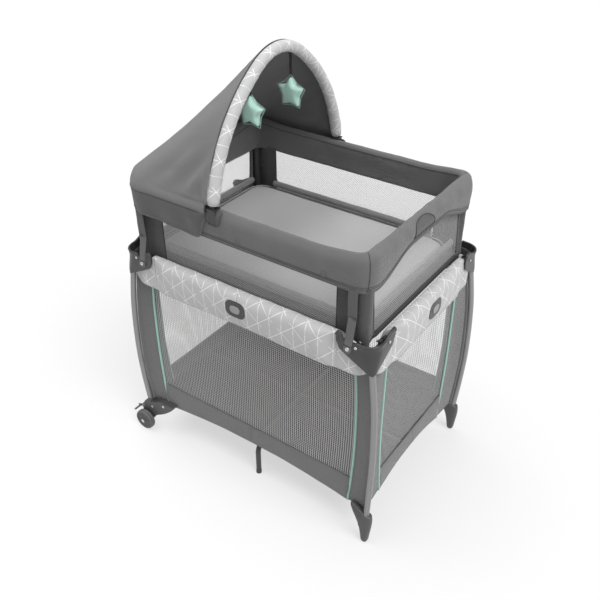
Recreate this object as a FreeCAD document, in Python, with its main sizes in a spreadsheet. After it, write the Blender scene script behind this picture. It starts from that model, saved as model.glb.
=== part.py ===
import FreeCAD, Part
import math
import os

# Travel play yard: a folding frame on two feet and two wheels, with a lift-off bassinet,
# a canopy and two soft toys. Millimetres, +Z up. The origin is on the floor under the middle.
# X runs along the yard, from the wheel end (-X) to the foot end (+X); the front is -Y.

Vec = FreeCAD.Vector
X_AXIS = Vec(1, 0, 0)
Y_AXIS = Vec(0, 1, 0)
Z_AXIS = Vec(0, 0, 1)

DIMENSIONS = {
    # fold linkage: pivots of the top rails and of the floor tubes
    "fold_reach_x": 384,
    "fold_reach_y": 262,
    "latch_pivot": 28,
    "rail_level": 842,
    "long_rail_end_y": 347,
    "long_rail_mid_y": 356,
    "short_rail_end_x": 493,
    "short_rail_mid_x": 506,
    "floor_pivot_x": 454,
    "floor_pivot_y": 312,
    "floor_level": 150,
    # tubes
    "leg_radius": 11,
    "rail_radius": 10,
    "floor_radius": 9.5,
    "arm_radius": 10,
    "tube_wall": 1.5,
    "eye_radius": 11,
    "eye_width": 12,
    "pin_radius": 4,
    "pin_play": 0.05,
    # corner hub
    "hub_x": 515,
    "hub_y": 367,
    "hub_corner": 40,
    "hub_wall": 4,
    "hub_foot": 771,
    "hub_rim": 877,
    "ear_end_x": 384,
    "ear_end_y": 252,
    "ear_width": 26,
    "ear_level": 871,
    # leg line
    "leg_low_x": 515,
    "leg_low_y": 346,
    "leg_low_z": 112,
    "leg_mid_x": 529,
    "leg_mid_y": 357.5,
    "leg_mid_z": 425,
    "leg_top_x": 499,
    "leg_top_y": 351,
    "leg_top_z": 798,
    # wheels and feet
    "wheel_radius": 44,
    "wheel_width": 28,
    "wheel_x": 531,
    "wheel_y": 378,
    "axle_radius": 4,
    "foot_width": 26,
    "arm_foot_y": 308.5,
    "arm_offset": 11,
    "arm_pivot_y": 46,
    "arm_bend": 45,
    # bassinet
    "rim_x": 480,
    "rim_y": 358,
    "rim_corner": 60,
    "rim_top": 1142,
    "rim_depth": 107,
    "rim_tube": 9,
    "post_x": 448,
    "post_y": 320,
    "post_radius": 14,
    "post_foot": 788,
    "post_play": 4,
    "base_x": 462,
    "base_y": 312,
    "base_corner": 36,
    "base_level": 852,
    "cloth": 2,
    "mattress_x": 432,
    "mattress_y": 308,
    "mattress_depth": 24,
    # canopy
    "bow_x": -89,
    "bow_y": 354,
    "bow_pivot_z": 1165,
    "bow_top": 1556,
    "bow_top_radius": 190,
    "bow_lean": 8,
    "bow_tube": 6,
    "bow_sleeve": 20,
    "canopy_end_x": -488,
    "canopy_foot": 1160,
    # soft toys
    "star_radius": 56,
    "star_waist": 0.56,
    "star_depth": 26,
    # yard fabric
    "yard_x": 494,
    "yard_y": 327,
    "yard_corner": 45,
    "hem_level": 172,
    "band_top": 868,
    "band_foot": 745,
}

doc = FreeCAD.newDocument("TravelPlayYard")
sheet = doc.addObject("Spreadsheet::Sheet", "dims")
for row, (alias, number) in enumerate(DIMENSIONS.items(), start=1):
    sheet.set(f"A{row}", alias)
    sheet.set(f"B{row}", str(number))
    sheet.setAlias(f"B{row}", alias)
doc.recompute()

sub_parts = []


def size(alias):
    """One driving dimension, in millimetres."""
    return float(sheet.get(alias))


# ---------------------------------------------------------------- helpers


def keep(item, label):
    """Name a finished sub-part and list it for export."""
    item.Label = label
    sub_parts.append(item)
    return item


def at(item, x, y, z, axis=Z_AXIS, angle=0):
    """Place an object, turned by angle about axis."""
    item.Placement = FreeCAD.Placement(Vec(x, y, z), FreeCAD.Rotation(axis, angle))
    return item


def box(name, lengths, low):
    """A block from its three lengths (numbers or expressions) and its lowest corner."""
    item = doc.addObject("Part::Box", name)
    for side, length in zip(("Length", "Width", "Height"), lengths):
        if isinstance(length, str):
            item.setExpression(side, length)
        else:
            setattr(item, side, length)
    return at(item, *low)


def cylinder(name, radius, height, foot, axis=Z_AXIS):
    """A round bar of a radius and height (numbers or expressions), standing at foot along axis."""
    item = doc.addObject("Part::Cylinder", name)
    for side, length in (("Radius", radius), ("Height", height)):
        if isinstance(length, str):
            item.setExpression(side, length)
        else:
            setattr(item, side, length)
    item.Placement = FreeCAD.Placement(Vec(*foot), FreeCAD.Rotation(Z_AXIS, axis))
    return item


def fused(name, pieces):
    """One solid from overlapping pieces."""
    item = doc.addObject("Part::MultiFuse", name)
    item.Shapes = pieces
    return item


def cut(name, base, tools):
    """A base with one or more tools taken out of it."""
    tool = tools[0] if len(tools) == 1 else fused(name + "_tools", tools)
    item = doc.addObject("Part::Cut", name)
    item.Base = base
    item.Tool = tool
    return item


def feature(name, shape):
    """A shape worked out with Part's own functions."""
    item = doc.addObject("Part::Feature", name)
    item.Shape = shape
    return item


def turned(item, place, axis, angle, offset=(0, 0, 0)):
    """Turn an object by angle about axis at place, after moving it by offset."""
    turn = FreeCAD.Placement(Vec(*place), FreeCAD.Rotation(axis, angle))
    item.Placement = turn.multiply(FreeCAD.Placement(Vec(*offset), FreeCAD.Rotation()))
    return item


def group(name, pieces):
    """Separate solids that share one sub-part."""
    item = doc.addObject("Part::Compound", name)
    item.Links = pieces
    return item


def mirror(source, name, normal):
    """The mirror image of a sub-part across the plane through the origin."""
    item = doc.addObject("Part::Mirroring", name)
    item.Source = source
    item.Normal = normal
    return item


def plane_of(body, role):
    """One of a body's own origin planes."""
    return next(plane for plane in body.Origin.OriginFeatures if plane.Role == role)


def sketch_on(body, name, role):
    """An empty sketch on one of the body's origin planes."""
    sketch = body.newObject("Sketcher::SketchObject", name)
    sketch.AttachmentSupport = [(plane_of(body, role), "")]
    sketch.MapMode = "FlatFace"
    return sketch


def draw(sketch, outline):
    """Draw a closed outline: each entry is a point, or (middle, end) of an arc."""
    start = Vec(*outline[0], 0)
    first = start
    for entry in outline[1:]:
        if isinstance(entry[0], tuple):
            middle, end = (Vec(*point, 0) for point in entry)
            sketch.addGeometry(Part.Arc(start, middle, end), False)
        else:
            end = Vec(*entry, 0)
            sketch.addGeometry(Part.LineSegment(start, end), False)
        start = end
    if (start - first).Length > 1e-6:
        sketch.addGeometry(Part.LineSegment(start, first), False)


def padded_outline(name, outline, depth, role="XY_Plane", round_edges=0):
    """A PartDesign body: an outline padded by depth, half to each side of its plane."""
    body = doc.addObject("PartDesign::Body", name)
    sketch = sketch_on(body, name + "_sketch", role)
    draw(sketch, outline)
    pad = body.newObject("PartDesign::Pad", name + "_pad")
    pad.Profile = sketch
    pad.Midplane = True
    if isinstance(depth, str):
        pad.setExpression("Length", depth)
    else:
        pad.Length = depth
    doc.recompute()
    if round_edges:
        dress = body.newObject("PartDesign::Fillet", name + "_fillet")
        dress.Base = (pad, [f"Face{count + 1}" for count in flat_faces(pad.Shape, role)])
        dress.Radius = round_edges
        doc.recompute()
    return body


def flat_faces(shape, role):
    """The indices of the two faces that lie along the pad's plane."""
    normal = {"XY_Plane": Z_AXIS, "XZ_Plane": Y_AXIS, "YZ_Plane": X_AXIS}[role]
    found = []
    for count, face in enumerate(shape.Faces):
        if isinstance(face.Surface, Part.Plane) and abs(face.Surface.Axis * normal) > 0.999:
            found.append(count)
    return found


def rounded_rectangle(half_x, half_y, radius):
    """The outline of a rounded rectangle about the origin, for draw()."""
    bevel = radius * (1 - math.sqrt(0.5))
    straight_x = half_x - radius
    straight_y = half_y - radius
    return [
        (-straight_x, -half_y),
        (straight_x, -half_y),
        ((half_x - bevel, -half_y + bevel), (half_x, -straight_y)),
        (half_x, straight_y),
        ((half_x - bevel, half_y - bevel), (straight_x, half_y)),
        (-straight_x, half_y),
        ((-half_x + bevel, half_y - bevel), (-half_x, straight_y)),
        (-half_x, -straight_y),
        ((-half_x + bevel, -half_y + bevel), (-straight_x, -half_y)),
    ]


def outline_wire(outline, level):
    """A flat wire at a height from an outline."""
    start = Vec(*outline[0], level)
    first = start
    edges = []
    for entry in outline[1:]:
        if isinstance(entry[0], tuple):
            middle, end = (Vec(*point, level) for point in entry)
            edges.append(Part.Arc(start, middle, end).toShape())
        else:
            end = Vec(*entry, level)
            edges.append(Part.LineSegment(start, end).toShape())
        start = end
    if (start - first).Length > 1e-6:
        edges.append(Part.LineSegment(start, first).toShape())
    return Part.Wire(edges)


def slab(half_x, half_y, radius, low, high):
    """A solid rounded rectangle between two heights."""
    face = Part.Face(outline_wire(rounded_rectangle(half_x, half_y, radius), low))
    return face.extrude(Vec(0, 0, high - low))


def ring_wall(half_x, half_y, radius, wall, low, high):
    """An upright wall that follows a rounded rectangle, measured to its outside."""
    outer = slab(half_x, half_y, radius, low, high)
    inner = slab(half_x - wall, half_y - wall, radius - wall, low - 1, high + 1)
    return outer.cut(inner)


def pipe(path, radius):
    """A round bar along a wire."""
    edge = path.Edges[0]
    start = edge.valueAt(edge.FirstParameter)
    tangent = edge.tangentAt(edge.FirstParameter)
    ring = Part.Wire([Part.Circle(start, tangent, radius).toShape()])
    return Part.Wire(path).makePipeShell([ring], True, False)


def loop_tube(half_x, half_y, corner, level, radius):
    """A closed tube along a rounded rectangle, as straight bars and quarter rings."""
    bars = []
    for edge in outline_wire(rounded_rectangle(half_x, half_y, corner), level).Edges:
        bars.append(pipe(Part.Wire([edge]), radius))
    solid = bars[0]
    for bar in bars[1:]:
        solid = solid.fuse(bar)
    return solid.removeSplitter()


# ---------------------------------------------------------------- corners

CORNERS = {
    "back_right": (1, 1),
    "back_left": (-1, 1),
    "front_right": (1, -1),
    "front_left": (-1, -1),
}


def at_four_corners(source, stem):
    """Keep a back-right sub-part and its mirror images at the other corners."""
    keep(source, f"{stem}_back_right")
    left = keep(mirror(source, f"{stem}_back_left", X_AXIS), f"{stem}_back_left")
    keep(mirror(source, f"{stem}_front_right", Y_AXIS), f"{stem}_front_right")
    keep(mirror(left, f"{stem}_front_left", Y_AXIS), f"{stem}_front_left")


def front_and_back(source, stem):
    """Keep a back sub-part and its mirror image at the front."""
    keep(source, f"{stem}_back")
    keep(mirror(source, f"{stem}_front", Y_AXIS), f"{stem}_front")


def leg_line():
    """The bowed centre line of the back-right leg."""
    points = []
    for place in ("low", "mid", "top"):
        points.append(Vec(*(size(f"leg_{place}_{axis}") for axis in "xyz")))
    return Part.Wire([Part.Arc(*points).toShape()])


def leg_tube():
    """A bowed leg tube, open at both ends, that the foot and the hub plug onto."""
    outer = feature("leg_outside", pipe(leg_line(), size("leg_radius")))
    inner = feature("leg_inside", pipe(leg_line(), size("leg_radius") - size("tube_wall")))
    return cut("leg_tube", outer, [inner])


def leg_clearance(name):
    """The room that the leg needs inside its sockets."""
    return feature(name, pipe(leg_line(), size("leg_radius") + 0.2))


def hub_wall_outline(inset):
    """Corners of the hub's L-shaped wall, inset from its outside."""
    far_x = size("hub_x") - inset
    far_y = size("hub_y") - inset
    centre_x = size("hub_x") - size("hub_corner")
    centre_y = size("hub_y") - size("hub_corner")
    reach = (size("hub_corner") - inset) * math.sqrt(0.5)
    return far_x, far_y, centre_x, centre_y, (centre_x + reach, centre_y + reach)


def hub_wall():
    """The hub's upright outer wall, rounded at the corner."""
    outer_x, outer_y, centre_x, centre_y, outer_arc = hub_wall_outline(0)
    inner_x, inner_y, _, _, inner_arc = hub_wall_outline(size("hub_wall"))
    outline = [
        (size("ear_end_x"), outer_y),
        (centre_x, outer_y),
        (outer_arc, (outer_x, centre_y)),
        (outer_x, size("ear_end_y")),
        (inner_x, size("ear_end_y")),
        (inner_x, centre_y),
        (inner_arc, (centre_x, inner_y)),
        (size("ear_end_x"), inner_y),
    ]
    height = size("hub_rim") - size("hub_foot")
    body = padded_outline("hub_wall", outline, "dims.hub_rim - dims.hub_foot")
    return at(body, 0, 0, size("hub_foot") + height / 2)


def hub_shelf():
    """The shelf inside the hub that the bassinet post stands on."""
    inner_x, inner_y, centre_x, centre_y, arc = hub_wall_outline(2)
    outline = [
        (427, 304),
        (inner_x, 304),
        (inner_x, centre_y),
        (arc, (centre_x, inner_y)),
        (462, inner_y),
        (446, 346),
        (427, 346),
    ]
    body = padded_outline("hub_shelf", outline, 5)
    return at(body, 0, 0, 783.5)


def ear(name, centre, axis):
    """A rounded ear that stands up at the end of the hub's wall."""
    half = size("ear_width") / 2
    width = size("hub_wall") + 4
    x, y = centre
    if axis == Y_AXIS:
        low = (x - half, y, 838)
        lengths = ("dims.ear_width", width, size("ear_level") - 838)
    else:
        low = (x, y - half, 838)
        lengths = (width, "dims.ear_width", size("ear_level") - 838)
    post = box(name + "_post", lengths, low)
    top = cylinder(name + "_top", "dims.ear_width / 2", width, (x, y, size("ear_level")), axis)
    return [post, top]


def corner_hub():
    """The moulded corner: cup for the bassinet post, leg socket and clevises for two rails."""
    long_pivot = size("fold_reach_x") + size("latch_pivot")
    short_pivot = size("fold_reach_y") + size("latch_pivot")
    level = size("rail_level")
    wall_y = size("hub_y") - size("hub_wall")
    wall_x = size("hub_x") - size("hub_wall")
    # the lower edge of the wall rises away from the leg on both faces
    taper_long = box("taper_long", (160, 20, 60), (0, 0, 0))
    turned(taper_long, (482, 355, 771), Y_AXIS, 32, (-160, 0, -60))
    taper_short = box("taper_short", (20, 160, 60), (0, 0, 0))
    turned(taper_short, (503, 337, 771), X_AXIS, -36, (0, -160, -60))
    tab_notch = box("tab_notch", (46, 20, 60), (403, 355, 856))
    wall = cut("hub_wall_cut", hub_wall(), [taper_long, taper_short, tab_notch])
    solid = [wall, hub_shelf()]
    solid += ear("ear_long", (size("ear_end_x") + 13, wall_y), Y_AXIS)
    solid += ear("ear_short", (wall_x, size("ear_end_y") + 13), X_AXIS)
    solid.append(cylinder("post_socket", 21, 27, (size("post_x"), size("post_y"), 785)))
    leg_top = (size("leg_top_x") + 1, size("leg_top_y"), size("hub_foot"))
    solid.append(cylinder("leg_socket", 14.5, 32, leg_top))
    solid.append(box("lug_long", (38, 4, 70), (398, 332, 784)))
    solid.append(box("lug_short", (4, 53, 70), (478, 275, 784)))
    solid.append(cylinder("spacer_long", 7, wall_y - 353, (long_pivot, 354, level), Y_AXIS))
    solid.append(cylinder("spacer_short", 7, wall_x - 499, (500, short_pivot, level), X_AXIS))
    hole = "dims.pin_radius + 0.1"
    post_foot = (size("post_x"), size("post_y"), 786)
    tools = [
        cylinder("hub_bore", "dims.post_radius + dims.post_play", 60, post_foot),
        cylinder("hub_pin_long", hole, 60, (long_pivot, 325, level), Y_AXIS),
        cylinder("hub_pin_short", hole, 60, (470, short_pivot, level), X_AXIS),
        leg_clearance("hub_leg_room"),
    ]
    return cut("corner_hub", fused("hub_solid", solid), tools)


def floor_direction():
    """The level direction of the back-right floor tube, from its foot towards the floor hub."""
    return Vec(-size("fold_reach_x"), -size("fold_reach_y"), 0).normalize()


def floor_angle():
    """The angle of that direction from +X, in degrees."""
    return math.degrees(math.atan2(size("fold_reach_y"), size("fold_reach_x")))


def clevis(name, place, angle, wide=38):
    """A block at a pivot and the slot between its cheeks; the slot opens towards local -X."""
    block = box(name + "_block", (wide, 19, 26), (0, 0, 0))
    turned(block, place, Z_AXIS, angle, (-13, -9.5, -13))
    slot = box(name + "_slot", (42, 11, 40), (0, 0, 0))
    turned(slot, place, Z_AXIS, angle, (-30, -5.5, -20))
    return block, slot


def floor_pin(name, centre, radius, length):
    """A bar through the middle of a clevis, across the floor tube."""
    across = Vec(-floor_direction().y, floor_direction().x, 0)
    middle = Vec(*centre, size("floor_level"))
    return cylinder(name, radius, length, middle - across * (length / 2), across)


def foot_clevis(name):
    """The clevis on a foot that holds the outer end of a floor tube, with its web."""
    centre = (size("floor_pivot_x"), size("floor_pivot_y"))
    block, slot = clevis(name, (*centre, size("floor_level")), floor_angle())
    web = box(name + "_web", (34, 24, 14), (464, 316, 137))
    return block, web, slot, floor_pin(name + "_hole", centre, 3.6, 30)


def foot_solid(name, outline, holes):
    """A moulded foot: an upright profile with a collar for the leg and a floor-tube clevis."""
    profile = padded_outline(name + "_profile", outline, "dims.foot_width", "XZ_Plane")
    at(profile, 0, size("leg_low_y") + 2, 0)
    collar = cylinder(name + "_collar", 14.5, 42, (size("leg_low_x"), size("leg_low_y"), 108))
    block, web, slot, hole = foot_clevis(name + "_clevis")
    solid = fused(name + "_solid", [profile, collar, block, web])
    return cut(name, solid, [leg_clearance(name + "_leg_room"), slot, hole] + holes)


def bolt_holes(name, places):
    """Two cross holes for the bolts that clamp the leg and the foot."""
    holes = []
    for count, (x, z) in enumerate(places):
        holes.append(cylinder(f"{name}_hole_{count}", 2.6, 60, (x, 320, z), Y_AXIS))
    return holes


FOOT_BOLTS = ((492, 118), (500, 84))
BRACKET_BOLTS = ((497, 118), (432, 149))


def fixed_foot():
    """The foot at the +X end: a curved boot that tapers to a flat tread."""
    outline = [
        (536, 132),
        ((540, 66), (531, 7)),
        ((529, 2), (523, 0)),
        (508, 0),
        ((502, 3), (499, 14)),
        ((485, 84), (453, 152)),
        (453, 160),
        (500, 140),
    ]
    return foot_solid("fixed_foot", outline, bolt_holes("foot", FOOT_BOLTS))


def wheel_bracket():
    """The bracket at the -X end, drawn at the +X side: it carries the wheel's axle."""
    outline = [
        (536, 132),
        ((553, 100), (549, 40)),
        ((533, 22), (515, 38)),
        ((494, 64), (462, 89)),
        ((420, 118), (379, 158)),
        (379, 166),
        (450, 163),
        (500, 140),
    ]
    place = (size("wheel_x"), 320, size("wheel_radius"))
    axle = cylinder("bracket_axle_hole", "dims.axle_radius + 0.1", 60, place, Y_AXIS)
    brake = cylinder("bracket_brake_hole", 3.1, 60, (545, 320, 104), Y_AXIS)
    holes = bolt_holes("bracket", BRACKET_BOLTS) + [axle, brake]
    return foot_solid("wheel_bracket", outline, holes)


def headed_pin(name, radius, foot, axis, length, head_radius, head):
    """A pin or screw with a round head at its far end."""
    tip = Vec(*foot) + axis * length
    shank = cylinder(name + "_shank", radius, length, foot, axis)
    cap = cylinder(name + "_head", head_radius, head, tuple(tip), axis)
    return fused(name, [shank, cap])


def corner_pins(name, bolts):
    """The pivot pins, screws and rivets of one corner, as separate solids."""
    long_pivot = size("fold_reach_x") + size("latch_pivot")
    short_pivot = size("fold_reach_y") + size("latch_pivot")
    level = size("rail_level")
    centre = (size("floor_pivot_x"), size("floor_pivot_y"))
    pins = [
        cylinder(name + "_long", "dims.pin_radius", 36, (long_pivot, 330.5, level), Y_AXIS),
        headed_pin(name + "_short", size("pin_radius"), (477, short_pivot, level), X_AXIS, 38.2, 7, 3),
        floor_pin(name + "_floor", centre, 3.5, 24),
        cylinder(name + "_screw", 5, 2.5, (455, size("hub_y") + 0.1, 852), Y_AXIS),
        cylinder(name + "_stud", 5, 3, (425, size("hub_y") + 0.1, 832), Y_AXIS),
    ]
    for count, (x, z) in enumerate(bolts):
        foot = (x, 330, z)
        pins.append(headed_pin(f"{name}_bolt_{count}", 2.5, foot, Y_AXIS, 31.2, 6, 3))
    return pins


def wheel_pins():
    """The extra pins of a wheel corner: the axle with its cap, and the brake's pivot."""
    axle_foot = (size("wheel_x"), 336, size("wheel_radius"))
    axle = headed_pin("axle", size("axle_radius"), axle_foot, Y_AXIS, 57, 8, 3)
    brake = cylinder("brake_pivot", 3, 40, (545, 336, 104), Y_AXIS)
    return [axle, brake]


def wheel():
    """A solid wheel with a dished side, turned about its axle."""
    body = doc.addObject("PartDesign::Body", "wheel_body")
    sketch = sketch_on(body, "wheel_sketch", "XZ_Plane")
    bore = size("axle_radius") + size("pin_play")
    half = size("wheel_width") / 2
    rim = size("wheel_radius")
    draw(
        sketch,
        [
            (bore, -half),
            (16, -half),
            (20, -half + 4),
            (rim - 10, -half + 4),
            (rim - 7, -half),
            ((rim - 2, -half + 2), (rim, -half + 7)),
            (rim, half - 7),
            ((rim - 2, half - 2), (rim - 7, half)),
            (rim - 10, half - 4),
            (20, half - 4),
            (16, half),
            (bore, half),
        ],
    )
    turn = body.newObject("PartDesign::Revolution", "wheel_turn")
    turn.Profile = sketch
    turn.ReferenceAxis = (sketch, ["V_Axis"])
    turn.Angle = 360
    doc.recompute()
    place = (-size("wheel_x"), size("wheel_y"), size("wheel_radius"))
    return at(body, *place, X_AXIS, 90)


def brake_lever():
    """The lever behind a wheel, whose toe presses on the tread when it is pushed down."""
    arm = box("brake_arm", (42, 2, 12), (-38, 361.4, -8))
    eye = cylinder("brake_eye", 9, 2, (0, 361.4, 0), Y_AXIS)
    toe = box("brake_toe", (9, 30, 5), (-38, 361.4, -8))
    hole = cylinder("brake_hole", 3.05, 20, (0, 355, 0), Y_AXIS)
    lever = cut("brake_lever", fused("brake_solid", [arm, eye, toe]), [hole])
    return at(lever, -545, 0, 104, Y_AXIS, -25)


# ---------------------------------------------------------------- rails and latches


def link_tube(name, start, end, radius, eye_axis, eye_width, far_play):
    """A hollow tube between two eyes, each with a hole for its pin."""
    start = Vec(*start)
    end = Vec(*end)
    along = (end - start).normalize()
    inset = size("eye_radius") - 3
    length = (end - start).Length - 2 * inset
    foot = start + along * inset
    tube = cylinder(name + "_tube", radius, length, tuple(foot), along)
    bore_foot = tuple(foot + along * 8)
    bore = cylinder(name + "_bore", f"{radius} - dims.tube_wall", length - 16, bore_foot, along)
    middle = (start + end) * 0.5
    vent = cylinder(name + "_vent", 2, 20, tuple(middle - Z_AXIS * 20), Z_AXIS)
    eyes = []
    holes = []
    for place, play in ((start, size("pin_play")), (end, far_play)):
        foot = tuple(place - eye_axis * (eye_width / 2))
        eyes.append(cylinder(name + "_eye", "dims.eye_radius", eye_width, foot, eye_axis))
        foot = tuple(place - eye_axis * eye_width)
        holes.append(cylinder(name + "_hole", size("pin_radius") + play, 2 * eye_width, foot, eye_axis))
    return cut(name, fused(name + "_solid", [tube] + eyes), [bore, vent] + holes)


def half_rails():
    """The eight half rails: each hangs from a corner and meets a latch in the middle."""
    level = size("rail_level")
    middle = size("latch_pivot")
    long_start = (size("fold_reach_x") + middle, size("long_rail_end_y"), level)
    long_end = (middle, size("long_rail_mid_y"), level)
    short_start = (size("short_rail_end_x"), size("fold_reach_y") + middle, level)
    short_end = (size("short_rail_mid_x"), middle, level)
    width = size("eye_width")
    long_rail = link_tube("long_rail", long_start, long_end, "dims.rail_radius", Y_AXIS, width, 0.05)
    short_rail = link_tube("short_rail", short_start, short_end, "dims.rail_radius", X_AXIS, width, 0.05)
    keep(long_rail, "half_rail_back_right")
    left = keep(mirror(long_rail, "half_rail_back_left", X_AXIS), "half_rail_back_left")
    keep(mirror(long_rail, "half_rail_front_right", Y_AXIS), "half_rail_front_right")
    keep(mirror(left, "half_rail_front_left", Y_AXIS), "half_rail_front_left")
    keep(short_rail, "half_rail_right_back")
    left = keep(mirror(short_rail, "half_rail_left_back", X_AXIS), "half_rail_left_back")
    keep(mirror(short_rail, "half_rail_right_front", Y_AXIS), "half_rail_right_front")
    keep(mirror(left, "half_rail_left_front", Y_AXIS), "half_rail_left_front")


def oval(half_wide, half_high):
    """A rounded button outline."""
    return rounded_rectangle(half_wide, half_high, half_high * 0.95)


def latch_housing(name):
    """A rail latch, drawn at the origin facing +Y: an open channel, a bezel and two pivot pins."""
    level = size("rail_level")
    bezel = padded_outline(name + "_bezel", rounded_rectangle(40, 30, 22), 14, "XZ_Plane", 0)
    at(bezel, 0, 20, 816)
    back = box(name + "_back", (84, 3, 57), (-42, -18, 800))
    front = box(name + "_front", (84, 3, 70), (-42, 12, 787))
    web = box(name + "_web", (84, 33, 8), (-42, -18, 800))
    pins = []
    for side in (-1, 1):
        foot = (side * size("latch_pivot"), -17, level)
        pins.append(cylinder(f"{name}_pin", "dims.pin_radius", 31, foot, Y_AXIS))
    well = padded_outline(name + "_well", oval(21, 15), 40, "XZ_Plane", 0)
    at(well, 0, 30, 816)
    return cut(name, fused(name + "_solid", [bezel, back, front, web] + pins), [well])


def latch_button(name):
    """The button that frees a rail latch, drawn at the origin facing +Y."""
    body = padded_outline(name + "_cap", oval(20, 14), 14, "XZ_Plane", 1.5)
    return at(body, 0, 23, 816)


def latches():
    """The four rail latches and their buttons, on the middle of each side."""
    places = {
        "back": (0, size("long_rail_mid_y"), 0),
        "front": (0, -size("long_rail_mid_y"), 180),
        "right": (size("short_rail_mid_x"), 0, -90),
        "left": (-size("short_rail_mid_x"), 0, 90),
    }
    for side, (x, y, turn) in places.items():
        for stem, piece in (("latch_housing", latch_housing), ("latch_button", latch_button)):
            item = group(f"{stem}_{side}", [piece(f"{stem}_{side}_make")])
            keep(at(item, x, y, 0, Z_AXIS, turn), f"{stem}_{side}")


# ---------------------------------------------------------------- floor frame


def hub_pivot():
    """The floor hub's back-right pivot, in plan."""
    return (
        size("floor_pivot_x") - size("fold_reach_x"),
        size("floor_pivot_y") - size("fold_reach_y"),
    )


def floor_tube():
    """The back-right floor tube, with a narrow eye at each end."""
    level = size("floor_level")
    start = Vec(size("floor_pivot_x"), size("floor_pivot_y"), level)
    end = Vec(*hub_pivot(), level)
    along = floor_direction()
    across = Vec(-along.y, along.x, 0)
    gap = 20
    length = (end - start).Length - 2 * gap
    foot = start + along * gap
    pieces = [cylinder("floor_bar", "dims.floor_radius", length, tuple(foot), along)]
    holes = []
    for place, away in ((start, along), (end, along * -1)):
        pieces.append(cylinder("floor_eye", 9, 10, tuple(place - across * 5), across))
        heading = math.degrees(math.atan2(away.y, away.x))
        neck = box("floor_neck", (gap + 4, 10, 14), (0, 0, 0))
        pieces.append(turned(neck, tuple(place), Z_AXIS, heading, (0, -5, -7)))
        holes.append(cylinder("floor_hole", 3.55, 20, tuple(place - across * 10), across))
    return cut("floor_tube", fused("floor_tube_solid", pieces), holes)


def floor_hub():
    """The hub in the middle of the floor, with six clevises and their pins pressed in."""
    x, y = hub_pivot()
    level = size("floor_level")
    plate = padded_outline("hub_plate", rounded_rectangle(58, 37, 12), 26, "XY_Plane", 2)
    at(plate, 0, 0, level)
    solids = [plate]
    slots = []
    pins = []
    for side_x in (1, -1):
        for side_y in (1, -1):
            place = (side_x * x, side_y * y, level)
            turn = math.degrees(math.atan2(-side_y * size("fold_reach_y"), -side_x * size("fold_reach_x")))
            block, slot = clevis("hub_clevis", place, turn)
            across = FreeCAD.Rotation(Z_AXIS, turn).multVec(Y_AXIS)
            solids.append(block)
            slots.append(slot)
            pins.append(cylinder("hub_pin", 3.5, 18, tuple(Vec(*place) - across * 9), across))
    for side in (1, -1):
        arm_x = side * -size("arm_offset")
        low = (arm_x - 9.5, 30 if side > 0 else -56, level - 13)
        solids.append(box("arm_cheek", (19, 26, 26), low))
        low = (arm_x - 5.5, 35 if side > 0 else -75, level - 20)
        slots.append(box("arm_slot", (11, 40, 40), low))
        pins.append(cylinder("arm_pin", 3.5, 18, (arm_x - 9, side * size("arm_pivot_y"), level), X_AXIS))
    body = cut("floor_hub_body", fused("floor_hub_solid", solids), slots)
    return fused("floor_hub", [body] + pins)


def support_arm():
    """The back support arm: out from the hub under the floor, then bent down to the ground."""
    level = size("floor_level")
    pivot = size("arm_pivot_y")
    bend = size("arm_bend")
    far = size("arm_foot_y")
    x = -size("arm_offset")
    start = Vec(x, pivot + 19, level)
    bend_start = Vec(x, far - bend, level)
    bend_end = Vec(x, far, level - bend)
    half = bend * math.sqrt(0.5)
    bend_middle = Vec(x, far - bend + half, level - bend + half)
    path = Part.Wire(
        [
            Part.LineSegment(start, bend_start).toShape(),
            Part.Arc(bend_start, bend_middle, bend_end).toShape(),
            Part.LineSegment(bend_end, Vec(x, far, 12)).toShape(),
        ]
    )
    bar = feature("arm_bar", pipe(path, size("arm_radius")))
    cap = cylinder("arm_cap", 11, 14, (x, far, 0))
    eye = cylinder("arm_eye", 9, 10, (x - 5, pivot, level), X_AXIS)
    neck = box("arm_neck", (10, 25, 14), (x - 5, pivot, level - 7))
    hole = cylinder("arm_hole", 3.55, 20, (x - 10, pivot, level), X_AXIS)
    return cut("support_arm", fused("arm_solid", [bar, cap, eye, neck]), [hole])


def turned_to_front(source, name):
    """A copy turned half a turn about the vertical axis."""
    item = group(name, [source])
    return at(item, 0, 0, 0, Z_AXIS, 180)


# ---------------------------------------------------------------- bassinet


def bassinet_top_rail():
    """The closed tube inside the bassinet's rim."""
    inset = 19
    half_x = size("rim_x") - inset
    half_y = size("rim_y") - inset
    corner = size("rim_corner") - inset
    return feature("top_rail", loop_tube(half_x, half_y, corner, 1118, size("rim_tube")))


def bassinet_lower_frame():
    """Four posts, the base loop, their connectors and the hangers of the latch tabs."""
    corner = size("base_corner")
    loop = loop_tube(size("base_x"), size("base_y"), corner, size("base_level"), size("rim_tube"))
    pieces = [feature("base_loop", loop)]
    for side_x in (1, -1):
        for side_y in (1, -1):
            x = side_x * size("post_x")
            y = side_y * size("post_y")
            height = 1108 - size("post_foot")
            pieces.append(cylinder("post", "dims.post_radius", height, (x, y, size("post_foot"))))
            pieces.append(cylinder("connector", 17, 70, (x, y, 1030)))
            hanger = box("hanger", (13, 25, 8), (0, 0, 0))
            low_x = 428 if side_x > 0 else -441
            low_y = 330 if side_y > 0 else -355
            pieces.append(at(hanger, low_x, low_y, 936))
            start = 409 if side_x > 0 else -441
            pieces.append(cylinder("hanger_pin", 2, 32, (start, side_y * 351, 940), X_AXIS))
    solid = fused("lower_frame_solid", pieces)
    inset = 19
    half_x = size("rim_x") - inset
    half_y = size("rim_y") - inset
    corner = size("rim_corner") - inset
    room = feature("rail_room", loop_tube(half_x, half_y, corner, 1118, size("rim_tube") + 0.3))
    return cut("lower_frame", solid, [room])


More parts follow.
